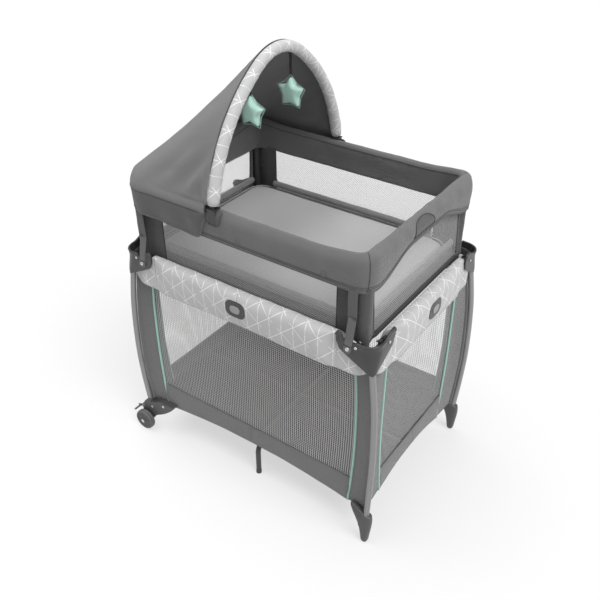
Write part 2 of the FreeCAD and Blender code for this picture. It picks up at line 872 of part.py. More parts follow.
def bassinet_shell():
    """The bassinet's sewn body: floor, walls and the band that wraps over the rim tube."""
    rim_x = size("rim_x")
    rim_y = size("rim_y")
    corner = size("rim_corner")
    cloth = size("cloth")
    top = size("rim_top")
    wall_x = rim_x - 34
    wall_y = rim_y - 34
    wall = ring_wall(wall_x, wall_y, 70, cloth, 862, top)
    floor = slab(wall_x, wall_y, 70, 862, 865)
    skirt = ring_wall(rim_x, rim_y, corner, cloth, top - size("rim_depth"), top)
    cover = slab(rim_x, rim_y, corner, top - cloth, top)
    cover = cover.cut(slab(wall_x - cloth, wall_y - cloth, 67, top - cloth - 1, top + 1))
    return feature("bassinet_cloth", wall.fuse([floor, skirt, cover]).removeSplitter())


def bassinet_mattress():
    """The padded mattress on the bassinet's floor."""
    outline = rounded_rectangle(size("mattress_x"), size("mattress_y"), 62)
    body = padded_outline("mattress_pad", outline, "dims.mattress_depth", "XY_Plane", 6)
    return at(body, 0, 0, 866 + size("mattress_depth") / 2)


def latch_tab():
    """A flat tab that hangs from the bassinet and snaps onto the hub, at the back-right corner."""
    drop = 118
    half = 14
    outline = [
        (-2, -half),
        (-2, half),
        (-drop + half, half),
        ((-drop, 0), (-drop + half, -half)),
    ]
    plate = padded_outline("tab_plate", outline, 3.5, "XY_Plane", 1)
    # local X runs up the tab, local Y along the yard and local Z out of its face
    lean = FreeCAD.Rotation(X_AXIS, math.degrees(math.atan2(26, drop)))
    upright = lean.multiply(FreeCAD.Rotation(Vec(1, 1, 1), -120))
    pivot = Vec(425, 351, 940)
    plate.Placement = FreeCAD.Placement(pivot, upright)
    eye = cylinder("tab_eye", 4.5, 16, (411, 351, 940), X_AXIS)
    hanger_room = box("tab_room", (16, 14, 26), (427.2, 340, 930))
    hole = cylinder("tab_hole", 2.05, 40, (405, 351, 940), X_AXIS)
    out = upright.multVec(Z_AXIS)
    cap_foot = pivot + upright.multVec(Vec(half - drop, 0, 1))
    cap = cylinder("tab_cap", 6, 2.8, tuple(cap_foot), out)
    return cut("latch_tab", fused("tab_solid", [plate, eye, cap]), [hanger_room, hole])


# ---------------------------------------------------------------- canopy


def bow_side_radius():
    """The radius of the bow's long side arcs, tangent to its top arc, and their centre."""
    lean = math.radians(size("bow_lean"))
    base_y = size("bow_y")
    base_z = size("bow_pivot_z") - 27
    top_radius = size("bow_top_radius")
    top_z = size("bow_top") - top_radius
    drop = base_z - top_z
    cosine = math.cos(lean)
    sine = math.sin(lean)
    # |side centre - top centre| = side radius - top radius gives one linear equation
    known = base_y**2 + drop**2 - top_radius**2
    radius = known / (2 * (base_y * cosine + drop * sine - top_radius))
    centre = (base_y - radius * cosine, base_z - radius * sine)
    return radius, centre, (0, top_z)


def bow_path(start_z):
    """The bow's centre line from one foot over the top to the other."""
    radius, centre, top = bow_side_radius()
    x = size("bow_x")
    away = Vec(0, top[0] - centre[0], top[1] - centre[1]).normalize()
    joint = Vec(x, centre[0], centre[1]) + away * radius

    def side_point(angle):
        return Vec(x, centre[0] + radius * math.cos(angle), centre[1] + radius * math.sin(angle))

    low = math.asin((start_z - centre[1]) / radius)
    high = math.atan2(joint.z - centre[1], joint.y - centre[0])
    right = [side_point(low), side_point((low + high) / 2), joint]
    left = [Vec(x, -point.y, point.z) for point in right]
    crown = Vec(x, 0, size("bow_top"))
    return Part.Wire(
        [
            Part.Arc(right[0], right[1], right[2]).toShape(),
            Part.Arc(right[2], crown, left[2]).toShape(),
            Part.Arc(left[2], left[1], left[0]).toShape(),
        ]
    )


def bow_foot_y(level):
    """How far out the bow's centre line is at a height."""
    radius, centre, _ = bow_side_radius()
    return centre[0] + math.sqrt(radius**2 - (level - centre[1]) ** 2)


def canopy_bow():
    """The bent bow tube with a flat eye at each foot."""
    pivot = size("bow_pivot_z")
    bar = feature("bow_bar", pipe(bow_path(pivot + 4), size("bow_tube")))
    y = bow_foot_y(pivot)
    eyes = []
    holes = []
    for side in (1, -1):
        eyes.append(cylinder("bow_eye", 9, 8, (size("bow_x"), side * y - 4, pivot), Y_AXIS))
        holes.append(cylinder("bow_hole", 3.05, 30, (size("bow_x"), side * y - 15, pivot), Y_AXIS))
    return cut("canopy_bow", fused("bow_solid", [bar] + eyes), holes)


def bow_sleeve():
    """The padded sleeve around the bow."""
    outside = pipe(bow_path(size("bow_pivot_z") + 20), size("bow_sleeve"))
    inside = pipe(bow_path(size("bow_pivot_z") + 4), size("bow_tube") + 0.4)
    return feature("sleeve_cloth", outside.cut(inside))


def canopy_clips():
    """The clips over the bassinet's rim that carry the bow's pivots, as two solids."""
    pivot = size("bow_pivot_z")
    y = bow_foot_y(pivot)
    clips = []
    for side in (1, -1):
        x = size("bow_x")
        pieces = [
            box("clip_saddle", (30, 33, 4), (x - 15, side * 352.5 - 16.5, size("rim_top") + 0.5)),
            box("clip_tab", (30, 4, 52), (x - 15, side * 361 - 2 + side * 1.5, 1094.5)),
            box("clip_cheek", (18, 3, 20), (x - 9, side * y + 8.5, size("rim_top") + 2)),
            box("clip_cheek", (18, 3, 20), (x - 9, side * y - 11.5, size("rim_top") + 2)),
            cylinder("clip_round", 9, 3, (x, side * y + 8.5, pivot), Y_AXIS),
            cylinder("clip_round", 9, 3, (x, side * y - 11.5, pivot), Y_AXIS),
            cylinder("clip_pin", 3, 23, (x, side * y - 11.5, pivot), Y_AXIS),
        ]
        clips.append(fused("clip", pieces))
    return group("canopy_clips", clips)


def canopy_section(x, half_width, crest, foot):
    """A closed arch across the canopy at one station."""
    rise = crest - foot
    points = []
    for step in range(9):
        angle = math.pi * step / 8
        points.append(Vec(x, -half_width * math.cos(angle), foot + rise * math.sin(angle) ** 0.9))
    curve = Part.BSplineCurve()
    curve.interpolate(points)
    base = Part.LineSegment(points[-1], points[0]).toShape()
    return Part.Wire([curve.toShape(), base])


def canopy_body(inset, past):
    """The space under the canopy, inset from its outside; past lengthens it beyond the mouth."""
    mouth = size("bow_x") - size("bow_sleeve") - 3
    end = size("canopy_end_x") + inset
    foot = size("canopy_foot")
    half = size("rim_y") + 8.5 - inset
    crest = size("bow_top") + 14 - inset
    stations = 5
    sections = []
    for step in range(stations):
        share = step / (stations - 1)
        x = mouth + (end - mouth) * share
        # the ridge sags between the bow and the end of the rim
        level = crest + (foot + 30 - inset - crest) * share - 34 * math.sin(math.pi * share)
        sections.append(canopy_section(x, half, level, foot))
    body = Part.makeLoft(sections, True, False)
    if past:
        step = canopy_section(mouth, half, crest, foot)
        body = body.fuse(Part.Face(step).extrude(Vec(past, 0, 0)))
    return body


def canopy_cover():
    """The canopy cloth: an arched hood open at the bow, with a skirt around the bassinet's rim."""
    cloth = size("cloth")
    foot = size("canopy_foot")
    plan = (size("rim_x") + 9, size("rim_y") + 9, size("rim_corner") + 9)
    hood = canopy_body(0, 0).cut(canopy_body(cloth, 10))
    below = Part.makeBox(600, 800, 60, Vec(-560, -400, foot - 58))
    hood = hood.cut(below).common(slab(*plan, foot - 20, size("bow_top") + 60))
    skirt = ring_wall(*plan, cloth, 1062, foot + 6)
    keep_end = Part.makeBox(500, 800, 300, Vec(-640, -400, 1000))
    skirt = skirt.common(keep_end)
    return feature("canopy_cloth", hood.fuse(skirt).removeSplitter())


def star_toy(name, y, strap_top, centre_z):
    """A stuffed star on a strap, which swings on a small toggle under the bow."""
    points = []
    radius = size("star_radius")
    for step in range(10):
        reach = radius if step % 2 == 0 else radius * size("star_waist")
        angle = math.pi / 2 + math.pi * step / 5
        points.append((reach * math.cos(angle), reach * math.sin(angle)))
    body = padded_outline(name + "_pad", points, "dims.star_depth", "XZ_Plane", 6)
    at(body, size("bow_x"), y, centre_z)
    strap_foot = (size("bow_x") - 5, y - 1, centre_z + 40)
    strap = box(name + "_strap", (10, 2, strap_top - centre_z - 40), strap_foot)
    toggle_foot = (size("bow_x"), y - 2, strap_top - 3)
    toggle = cylinder(name + "_toggle", 1.5, 4, toggle_foot, Y_AXIS)
    return fused(name, [body, strap, toggle])


# ---------------------------------------------------------------- yard fabric


def yard_shell():
    """The yard's sewn body: a wall around the legs and a padded band over each top rail."""
    cloth = size("cloth")
    half_x = size("yard_x")
    half_y = size("yard_y")
    top = size("band_top")
    foot = size("band_foot")
    shell = ring_wall(half_x, half_y, size("yard_corner"), cloth, size("hem_level"), foot + cloth)
    long_half = size("ear_end_x") - 3
    short_half = size("ear_end_y") - 3
    bands = []
    # each band: half length, inner face, outer face
    for half, inner, outer in ((long_half, 328, 377),):
        for side in (1, -1):
            bands.append(band(half, inner, outer, half_y, side, cloth, top, foot, "long"))
    for half, inner, outer in ((short_half, 475, 527),):
        for side in (1, -1):
            bands.append(band(half, inner, outer, half_x, side, cloth, top, foot, "short"))
    return feature("yard_cloth", shell.fuse(bands).removeSplitter())


def band(half, inner, outer, wall, side, cloth, top, foot, way):
    """One padded band: top, outer skirt, inner skirt and the ledge back to the wall."""
    parts = [
        Part.makeBox(2 * half, outer - inner, cloth, Vec(-half, inner, top - cloth)),
        Part.makeBox(2 * half, cloth, top - foot, Vec(-half, outer - cloth, foot)),
        Part.makeBox(2 * half, cloth, 60, Vec(-half, inner, top - 60)),
        Part.makeBox(2 * half, outer - wall + cloth, cloth, Vec(-half, wall - cloth, foot)),
    ]
    shape = parts[0].fuse(parts[1:])
    window = Part.makeBox(90, 20, 70, Vec(-45, outer - 10, 781))
    shape = shape.cut(window)
    turn = {("long", 1): 0, ("long", -1): 180, ("short", 1): -90, ("short", -1): 90}[way, side]
    shape.rotate(Vec(0, 0, 0), Z_AXIS, turn)
    return shape


def floor_cloth():
    """The floor of the yard, over the floor tubes."""
    outline = rounded_rectangle(size("yard_x") - 10, size("yard_y") - 10, size("yard_corner") - 8)
    body = padded_outline("floor_pad", outline, "dims.cloth")
    return at(body, 0, 0, size("hem_level") + 8)


def fold_strap():
    """The webbing loop on the floor hub that is pulled up to fold the yard."""
    outside = Part.makeBox(70, 24, 10, Vec(-35, -12, 164))
    inside = Part.makeBox(64, 30, 6, Vec(-32, -15, 166))
    return feature("fold_loop", outside.cut(inside))


# ---------------------------------------------------------------- assembly


def build():
    """Make every sub-part and list it under its own name."""
    at_four_corners(leg_tube(), "leg_tube")
    at_four_corners(corner_hub(), "corner_hub")
    foot = keep(fixed_foot(), "fixed_foot_back")
    keep(mirror(foot, "fixed_foot_front", Y_AXIS), "fixed_foot_front")
    bracket = keep(mirror(wheel_bracket(), "wheel_bracket_back", X_AXIS), "wheel_bracket_back")
    keep(mirror(bracket, "wheel_bracket_front", Y_AXIS), "wheel_bracket_front")
    foot_pins = keep(group("foot_pins", corner_pins("foot_pin", FOOT_BOLTS)), "corner_pins_back_right")
    keep(mirror(foot_pins, "foot_pins_front", Y_AXIS), "corner_pins_front_right")
    pins = group("bracket_pins", corner_pins("bracket_pin", BRACKET_BOLTS) + wheel_pins())
    pins = keep(mirror(pins, "bracket_pins_back", X_AXIS), "corner_pins_back_left")
    keep(mirror(pins, "bracket_pins_front", Y_AXIS), "corner_pins_front_left")
    front_and_back(wheel(), "wheel")
    front_and_back(brake_lever(), "brake_lever")
    half_rails()
    latches()
    at_four_corners(floor_tube(), "floor_tube")
    keep(floor_hub(), "floor_hub")
    arm = keep(support_arm(), "support_arm_back")
    keep(turned_to_front(arm, "support_arm_turned"), "support_arm_front")
    keep(bassinet_top_rail(), "bassinet_top_rail")
    keep(bassinet_lower_frame(), "bassinet_lower_frame")
    keep(bassinet_shell(), "bassinet_shell")
    keep(bassinet_mattress(), "bassinet_mattress")
    at_four_corners(latch_tab(), "latch_tab")
    keep(canopy_bow(), "canopy_bow")
    keep(bow_sleeve(), "bow_sleeve")
    keep(canopy_clips(), "canopy_clips")
    keep(canopy_cover(), "canopy_cover")
    keep(star_toy("star_right", 63, 1519, 1396), "star_toy_back")
    keep(star_toy("star_left", -149, 1459, 1394), "star_toy_front")
    keep(yard_shell(), "yard_shell")
    keep(floor_cloth(), "floor_cloth")
    keep(fold_strap(), "fold_strap")


def check_and_write():
    """Stop on any failed object, then write one STEP file for each sub-part."""
    doc.recompute()
    for item in doc.Objects:
        if {"Invalid", "Error"} & set(item.State):
            raise RuntimeError(f"{item.Label} failed: {item.State}")
    os.makedirs("parts", exist_ok=True)
    for item in sub_parts:
        shape = item.Shape
        if shape.isNull() or not shape.isValid() or not shape.Solids:
            raise RuntimeError(f"{item.Label} has no valid shape")
        shape.exportStep(f"parts/{item.Label}.step")
        low = shape.BoundBox
        print(
            f"{item.Label:26s} solids {len(shape.Solids):2d} volume {shape.Volume / 1000:9.1f} cm3  "
            f"x {low.XMin:7.1f} {low.XMax:7.1f}  y {low.YMin:7.1f} {low.YMax:7.1f}  "
            f"z {low.ZMin:7.1f} {low.ZMax:7.1f}"
        )
    print(len(sub_parts), "sub-parts")


build()
check_and_write()
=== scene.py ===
import bisect
import functools
import math

import bpy
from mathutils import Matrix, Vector, noise


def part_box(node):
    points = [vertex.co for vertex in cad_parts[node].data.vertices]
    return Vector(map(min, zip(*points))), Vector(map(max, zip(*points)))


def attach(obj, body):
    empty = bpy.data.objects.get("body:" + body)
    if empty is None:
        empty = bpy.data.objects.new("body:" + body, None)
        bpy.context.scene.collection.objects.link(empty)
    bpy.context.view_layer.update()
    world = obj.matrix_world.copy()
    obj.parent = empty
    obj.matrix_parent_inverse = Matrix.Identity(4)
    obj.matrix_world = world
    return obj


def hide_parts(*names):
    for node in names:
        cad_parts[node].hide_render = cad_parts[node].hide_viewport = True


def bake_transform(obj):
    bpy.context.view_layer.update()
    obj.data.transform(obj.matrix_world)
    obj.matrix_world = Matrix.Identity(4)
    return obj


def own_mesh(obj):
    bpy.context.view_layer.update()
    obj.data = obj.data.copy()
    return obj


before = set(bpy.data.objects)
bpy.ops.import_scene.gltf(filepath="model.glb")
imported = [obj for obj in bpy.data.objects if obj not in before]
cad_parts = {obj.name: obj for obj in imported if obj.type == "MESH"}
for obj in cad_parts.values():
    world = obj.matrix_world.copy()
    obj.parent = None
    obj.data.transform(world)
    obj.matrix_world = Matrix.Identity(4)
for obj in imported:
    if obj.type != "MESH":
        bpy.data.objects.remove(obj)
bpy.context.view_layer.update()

# A travel play yard with a lift-off bassinet, a canopy and two soft stars, in metres.
# The CAD frame carries everything that moves. The cloth, the moulded skins and the trim
# are made here, each on the body that carries it.


# ---------------------------------------------------------------- sizes from the frame


def reach(node):
    """The half sizes of a node that is centred on the origin in plan, and its two heights."""
    low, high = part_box(node)
    return high[0], high[1], low[2], high[2]


RIM_X, RIM_Y, SHELL_FOOT, RIM_TOP = reach("bassinet_shell")
BED_X, BED_Y, BED_FOOT, BED_TOP = reach("bassinet_mattress")
BAND_X, BAND_Y = reach("yard_shell")[:2]
BOW_LOW, BOW_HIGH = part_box("canopy_bow")
BOW_X = (BOW_LOW[0] + BOW_HIGH[0]) / 2
HUB_LOW, HUB_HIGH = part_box("corner_hub_back_right")

RIM_FOOT = RIM_TOP - 0.108
RIM_CORNER = 0.06
WALL_X = RIM_X - 0.032
WALL_Y = RIM_Y - 0.036
MESH_X = 0.4925
MESH_Y = 0.3255
BAND_FOOT = 0.744
HEM_TOP = 0.252
# how far the yard's cloth runs along half a side, and where a leg stands at its widest
SIDE_HALF = {"long": 0.44, "short": 0.25}
LEG_LINE = {"long": 0.529, "short": 0.3575}
# a bassinet post in plan, and the pivot of a latch tab
POST_X = 0.448
POST_Y = 0.320
TAB_PIVOT = (0.425, 0.351, 0.940)
SIGNS = {"right": 1, "left": -1, "back": 1, "front": -1}
ROWS = ("front", "back")
COLUMNS = ("left", "right")
CORNERS = [(row, column) for row in ROWS for column in COLUMNS]
# each side with each of its halves, the long sides first
HALVES = CORNERS + [(side, half) for side in COLUMNS for half in ROWS]


# ---------------------------------------------------------------- materials


class Nodes:
    """Short forms for building a material's node tree."""

    INPUTS = {
        "colour": "Base Color",
        "rough": "Roughness",
        "sheen": "Sheen Weight",
        "sheen_rough": "Sheen Roughness",
        "spec": "Specular IOR Level",
        "metallic": "Metallic",
        "alpha": "Alpha",
        "glow": "Emission Color",
        "glow_strength": "Emission Strength",
    }

    def __init__(self, name):
        self.material = bpy.data.materials.new(name)
        self.material.use_nodes = True
        self.tree = self.material.node_tree
        self.shader = self.tree.nodes["Principled BSDF"]

    def add(self, kind, **settings):
        node = self.tree.nodes.new(kind)
        for key, value in settings.items():
            setattr(node, key, value)
        return node

    def link(self, source, target):
        self.tree.links.new(source, target)

    def feed(self, socket, value):
        """Link an output, or set a plain value."""
        if hasattr(value, "is_output"):
            self.link(value, socket)
        else:
            socket.default_value = value

    def math(self, operation, first, second=0.0, third=None):
        node = self.add("ShaderNodeMath", operation=operation)
        self.feed(node.inputs[0], first)
        self.feed(node.inputs[1], second)
        if third is not None:
            self.feed(node.inputs[2], third)
        return node.outputs[0]

    def noise(self, vector, scale, detail=2.0):
        node = self.add("ShaderNodeTexNoise")
        node.inputs["Scale"].default_value = scale
        node.inputs["Detail"].default_value = detail
        self.link(vector, node.inputs["Vector"])
        return node.outputs["Fac"]

    def cloth_axes(self):
        """The two directions of the cloth, in metres, from its UV map."""
        where = self.add("ShaderNodeUVMap", uv_map="cloth")
        split = self.add("ShaderNodeSeparateXYZ")
        self.link(where.outputs["UV"], split.inputs[0])
        return where.outputs["UV"], split.outputs["X"], split.outputs["Y"]

    def object_axes(self):
        where = self.add("ShaderNodeTexCoord")
        split = self.add("ShaderNodeSeparateXYZ")
        self.link(where.outputs["Object"], split.inputs[0])
        return where.outputs["Object"], split.outputs

    def stripe(self, value, period, width, blur):
        """1 on lines that repeat every period, 0 between them."""
        distance = self.math("PINGPONG", value, period / 2)
        ramp = self.add("ShaderNodeMapRange")
        self.link(distance, ramp.inputs["Value"])
        ramp.inputs["From Min"].default_value = width / 2
        ramp.inputs["From Max"].default_value = width / 2 + blur
        ramp.inputs["To Min"].default_value = 1.0
        ramp.inputs["To Max"].default_value = 0.0
        return ramp.outputs[0]

    def blend(self, factor, first, second):
        """Mix two colours by a mask."""
        node = self.add("ShaderNodeMix", data_type="RGBA")
        self.feed(node.inputs["Factor"], factor)
        self.feed(node.inputs[6], first)
        self.feed(node.inputs[7], second)
        return node.outputs[2]

    def bump(self, height, strength, distance):
        node = self.add("ShaderNodeBump")
        node.inputs["Strength"].default_value = strength
        node.inputs["Distance"].default_value = distance
        self.link(height, node.inputs["Height"])
        self.link(node.outputs["Normal"], self.shader.inputs["Normal"])

    def finish(self, **inputs):
        """Set the shader's inputs, by the short names of INPUTS."""
        for key, value in inputs.items():
            self.feed(self.shader.inputs[self.INPUTS[key]], value)
        return self.material


def grey(level, tint=(1.0, 1.0, 1.0)):
    """A near-neutral colour of a linear level."""
    return (level * tint[0], level * tint[1], level * tint[2], 1.0)


def weave_height(nodes, u, v, pitch):
    """A plain weave: raised threads that cross and alternate."""
    turn = 2 * math.pi / pitch
    across = nodes.math("SINE", nodes.math("MULTIPLY", u, turn))
    along = nodes.math("SINE", nodes.math("MULTIPLY", v, turn))
    return nodes.math("MULTIPLY", across, along)


def woven(name, dark, light, pitch=0.0016, rough=0.9, sheen=0.25, mapped=True, depth=0.0005):
    """Heather cloth: two thread shades mixed by fine and broad variation, with a weave in the bump."""
    nodes = Nodes(name)
    if mapped:
        place, u, v = nodes.cloth_axes()
    else:
        place, axes = nodes.object_axes()
        u = nodes.math("ADD", axes[0], axes[1])
        v = nodes.math("ADD", axes[2], axes[1])
    fibre = nodes.noise(place, 900.0, 3.0)
    broad = nodes.noise(place, 9.0, 3.0)
    weave = weave_height(nodes, u, v, pitch)
    fleck = nodes.math("MULTIPLY_ADD", weave, 0.16, fibre)
    share = nodes.math("MULTIPLY_ADD", broad, 0.35, nodes.math("SUBTRACT", fleck, 0.17))
    nodes.bump(nodes.math("MULTIPLY_ADD", fibre, 0.6, weave), 0.55, depth)
    return nodes.finish(
        colour=nodes.blend(share, dark, light), rough=rough, sheen=sheen, sheen_rough=0.5, spec=0.25
    )


def printed(name, turned=False):
    """Light heather cloth with a thin white print of upright and slanting lines."""
    nodes = Nodes(name)
    place, u, v = nodes.cloth_axes()
    if turned:
        u, v = v, u
    pitch = 0.046
    rise = 0.040
    slope = rise / pitch
    fibre = nodes.noise(place, 800.0, 3.0)
    weave = weave_height(nodes, u, v, 0.0017)
    fleck = nodes.math("MULTIPLY_ADD", weave, 0.12, fibre)
    cloth = nodes.blend(fleck, grey(0.37), grey(0.51))
    up = nodes.math("MULTIPLY_ADD", u, slope, v)
    down = nodes.math("MULTIPLY_ADD", u, -slope, v)
    lean = math.cos(math.atan(slope))
    line = 0.0015
    # the upright lines break off at every other crossing
    column = nodes.math("PINGPONG", nodes.math("ADD", u, pitch / 2), pitch)
    phase = nodes.math("MULTIPLY", nodes.math("GREATER_THAN", column, pitch / 2), rise)
    place_up = nodes.math("PINGPONG", nodes.math("ADD", v, phase), rise)
    shown = nodes.math("LESS_THAN", place_up, rise * 0.76)
    upright = nodes.math("MULTIPLY", nodes.stripe(u, pitch, line, 0.0006), shown)
    first = nodes.stripe(up, 2 * rise, line / lean, 0.0006)
    second = nodes.stripe(down, 2 * rise, line / lean, 0.0006)
    # one slanting set skips every second row
    row = nodes.math("PINGPONG", nodes.math("ADD", up, rise), 2 * rise)
    second = nodes.math("MULTIPLY", second, nodes.math("GREATER_THAN", row, rise * 0.40))
    lines = nodes.math("MAXIMUM", upright, nodes.math("MAXIMUM", first, second))
    nodes.bump(nodes.math("MULTIPLY_ADD", fibre, 0.6, weave), 0.5, 0.0004)
    return nodes.finish(colour=nodes.blend(lines, cloth, grey(0.76)), rough=0.88, sheen=0.2, spec=0.25)


def netting(name, level, pitch, thread, turned=True):
    """Open knit mesh: crossing threads with clear holes between them."""
    nodes = Nodes(name)
    place, u, v = nodes.cloth_axes()
    if turned:
        first = nodes.math("ADD", u, v)
        second = nodes.math("SUBTRACT", u, v)
    else:
        first = u
        second = v
    across = nodes.stripe(first, pitch, thread, thread * 0.25)
    along = nodes.stripe(second, pitch, thread, thread * 0.25)
    cover = nodes.math("MAXIMUM", across, along)
    fibre = nodes.noise(place, 700.0)
    nodes.bump(nodes.math("ADD", across, along), 0.5, 0.0005)
    return nodes.finish(
        colour=nodes.blend(fibre, grey(level * 0.85), grey(level * 1.15)), rough=0.8, spec=0.3, alpha=cover
    )


def moulded(name, level, rough=0.5, grain=0.00012, tint=(1.0, 1.0, 1.02), spec=0.45):
    """Moulded plastic with a fine spark-eroded grain and faint handling marks."""
    nodes = Nodes(name)
    place, _ = nodes.object_axes()
    fine = nodes.noise(place, 1400.0, 2.0)
    broad = nodes.noise(place, 22.0, 4.0)
    tone = nodes.blend(broad, grey(level * 0.86, tint), grey(level * 1.12, tint))
    gloss = nodes.math("MULTIPLY_ADD", broad, 0.16, rough - 0.08)
    nodes.bump(fine, 0.5, grain)
    return nodes.finish(colour=tone, rough=gloss, spec=spec)


def coated(name, level, rough=0.38, metallic=0.0):
    """Powder-coated or anodised tube, with a faint orange-peel surface."""
    nodes = Nodes(name)
    place, _ = nodes.object_axes()
    peel = nodes.noise(place, 420.0, 2.0)
    broad = nodes.noise(place, 14.0, 4.0)
    tone = nodes.blend(broad, grey(level * 0.92), grey(level * 1.08))
    gloss = nodes.math("MULTIPLY_ADD", broad, 0.12, rough - 0.06)
    nodes.bump(peel, 0.25, 0.00012)
    return nodes.finish(colour=tone, rough=gloss, metallic=metallic)


def plush(name, base, light):
    """Short-pile plush."""
    nodes = Nodes(name)
    place, _ = nodes.object_axes()
    pile = nodes.noise(place, 650.0, 4.0)
    broad = nodes.noise(place, 40.0, 3.0)
    share = nodes.math("MULTIPLY_ADD", broad, 0.5, nodes.math("MULTIPLY", pile, 0.5))
    nodes.bump(pile, 0.9, 0.0012)
    return nodes.finish(
        colour=nodes.blend(share, base, light), rough=0.95, sheen=0.6, sheen_rough=0.4, spec=0.15
    )


def webbing(name, level, rib=0.0018):
    """Ribbed webbing: fine ribs across the strap."""
    nodes = Nodes(name)
    place, u, v = nodes.cloth_axes()
    ribs = nodes.math("SINE", nodes.math("MULTIPLY", v, 2 * math.pi / rib))
    warp = nodes.math("SINE", nodes.math("MULTIPLY", u, 2 * math.pi / (rib * 0.6)))
    height = nodes.math("MULTIPLY_ADD", warp, 0.4, ribs)
    fibre = nodes.noise(place, 700.0)
    share = nodes.math("MULTIPLY_ADD", ribs, 0.2, fibre)
    nodes.bump(height, 0.6, 0.0004)
    return nodes.finish(
        colour=nodes.blend(share, grey(level * 0.8), grey(level * 1.25)), rough=0.8, sheen=0.15, spec=0.3
    )


def steel(name):
    """Plated steel with fine turning marks."""
    nodes = Nodes(name)
    place, _ = nodes.object_axes()
    marks = nodes.noise(place, 900.0, 3.0)
    gloss = nodes.math("MULTIPLY_ADD", marks, 0.2, 0.2)
    nodes.bump(marks, 0.2, 0.0001)
    tone = nodes.blend(marks, grey(0.5), grey(0.68))
    return nodes.finish(colour=tone, rough=gloss, metallic=1.0)


CHARCOAL = woven("charcoal_cloth", grey(0.075), grey(0.160))
CORNER_CLOTH = woven("corner_cloth", grey(0.040), grey(0.078))
HOOD = woven("hood_cloth", grey(0.095), grey(0.175), pitch=0.0014)
# the skirt's cloth is the hood's cloth made darker: painted shade on the skirt that hangs down from the
# crease
SKIRT_PAINTED_SHADE = woven("skirt_cloth_painted_shade", grey(0.048), grey(0.098), pitch=0.0014)
HEM = woven("hem_cloth", grey(0.090), grey(0.175))
# dark cloth for the bow tabs; on the grip pocket its darkness is painted shade
DARK_CLOTH_AND_SHADE = woven("dark_cloth_and_painted_shade", grey(0.045), grey(0.090))
PRINT = printed("print_cloth")
BOW_PRINT = printed("bow_print_cloth", turned=True)
MATTRESS = woven("mattress_cloth", grey(0.33), grey(0.45), mapped=False)
LINER = woven("liner_cloth", grey(0.15), grey(0.25))
FLOOR_CLOTH = woven("floor_cloth", grey(0.030), grey(0.060))
YARD_NET = netting("yard_net", 0.50, 0.0086, 0.00150, turned=False)
BED_NET = netting("bed_net", 0.46, 0.0074, 0.00140)
MINT = plush("mint_plush", (0.31, 0.51, 0.44, 1), (0.46, 0.69, 0.60, 1))
MINT_PIPING = woven("mint_piping", (0.26, 0.46, 0.39, 1), (0.36, 0.58, 0.50, 1), mapped=False)
PALE_TRIM = woven("pale_trim", grey(0.60), grey(0.80), mapped=False)
DARK_TRIM = woven("dark_trim", grey(0.022), grey(0.050), mapped=False)
LINER_TRIM = woven("liner_trim", grey(0.26), grey(0.38), mapped=False)
HEM_EDGE = woven("hem_edge_cloth", grey(0.070), grey(0.13), mapped=False)
STRAP = webbing("strap_webbing", 0.085)
BLACK_STRAP = webbing("black_webbing", 0.020)
LEG_COAT = coated("leg_coat", 0.24, 0.38, 0.45)
TUBE_COAT = coated("tube_coat", 0.035, 0.42)
PLASTIC = moulded("dark_plastic", 0.034, 0.36)
FOOT_PLASTIC = moulded("foot_plastic", 0.060, 0.44)
MID_PLASTIC = moulded("mid_plastic", 0.100, 0.5)
BUTTON = moulded("button_plastic", 0.24, 0.4)
WHEEL_PLASTIC = moulded("wheel_plastic", 0.080, 0.5)
STEEL = steel("plated_steel")


# ---------------------------------------------------------------- mesh helpers


def build_object(name, vertices, faces, corners, material):
    """A smooth mesh object; corners gives a UV in metres for each face corner, in face order."""
    mesh = bpy.data.meshes.new(name)
    mesh.from_pydata([tuple(v) for v in vertices], [], faces)
    layer = mesh.uv_layers.new(name="cloth")
    for loop, uv in zip(layer.data, corners):
        loop.uv = uv
    mesh.polygons.foreach_set("use_smooth", [True] * len(mesh.polygons))
    mesh.materials.append(material)
    mesh.update()
    piece = bpy.data.objects.new(name, mesh)
    bpy.context.scene.collection.objects.link(piece)
    return piece


def quads(columns, rows, count, place):
    """The faces between rows of count points, and place(i, j) for each of their corners."""
    faces = []
    corners = []
    for j in range(rows):
        for i in range(columns):
            near = j * count + i
            far = j * count + (i + 1) % count
            faces.append((near, far, far + count, near + count))
            corners += [place(a, b) for a, b in ((i, j), (i + 1, j), (i + 1, j + 1), (i, j + 1))]
    return faces, corners


def grid(name, columns, rows, point, cloth, material, closed=False, flip=False):
    """A sheet of quads: point(u, v) for u and v from 0 to 1; cloth is its size in metres.

    A closed sheet meets itself, and flip turns its faces the other way.
    """
    count = columns if closed else columns + 1
    vertices = [point(i / columns, j / rows) for j in range(rows + 1) for i in range(count)]

    def place(i, j):
        return (i / columns * cloth[0], j / rows * cloth[1])

    piece = build_object(name, vertices, *quads(columns, rows, count, place), material)
    if flip:
        piece.data.flip_normals()
    return piece


def loft(name, rings, material, lengths=None, capped=True):
    """A skin over closed rings with the same number of points, capped at both ends."""
    count = len(rings[0])
    vertices = [point for ring in rings for point in ring]
    around = [0.0]
    for i in range(count):
        step = (Vector(rings[0][(i + 1) % count]) - Vector(rings[0][i])).length
        around.append(around[-1] + step)
    along = lengths
    if along is None:
        along = [0.0]
        for one, two in zip(rings, rings[1:]):
            along.append(along[-1] + (Vector(two[0]) - Vector(one[0])).length)
    faces, corners = quads(count, len(rings) - 1, count, lambda i, j: (around[i], along[j]))
    if capped:
        for start, order in ((0, -1), ((len(rings) - 1) * count, 1)):
            faces.append(tuple(range(start, start + count))[::order])
            corners += [(0.0, 0.0)] * count
    return build_object(name, vertices, faces, corners, material)


def modifier(piece, kind, **settings):
    """Add a modifier with its settings."""
    item = piece.modifiers.new(kind.lower(), kind)
    for key, value in settings.items():
        setattr(item, key, value)
    return item


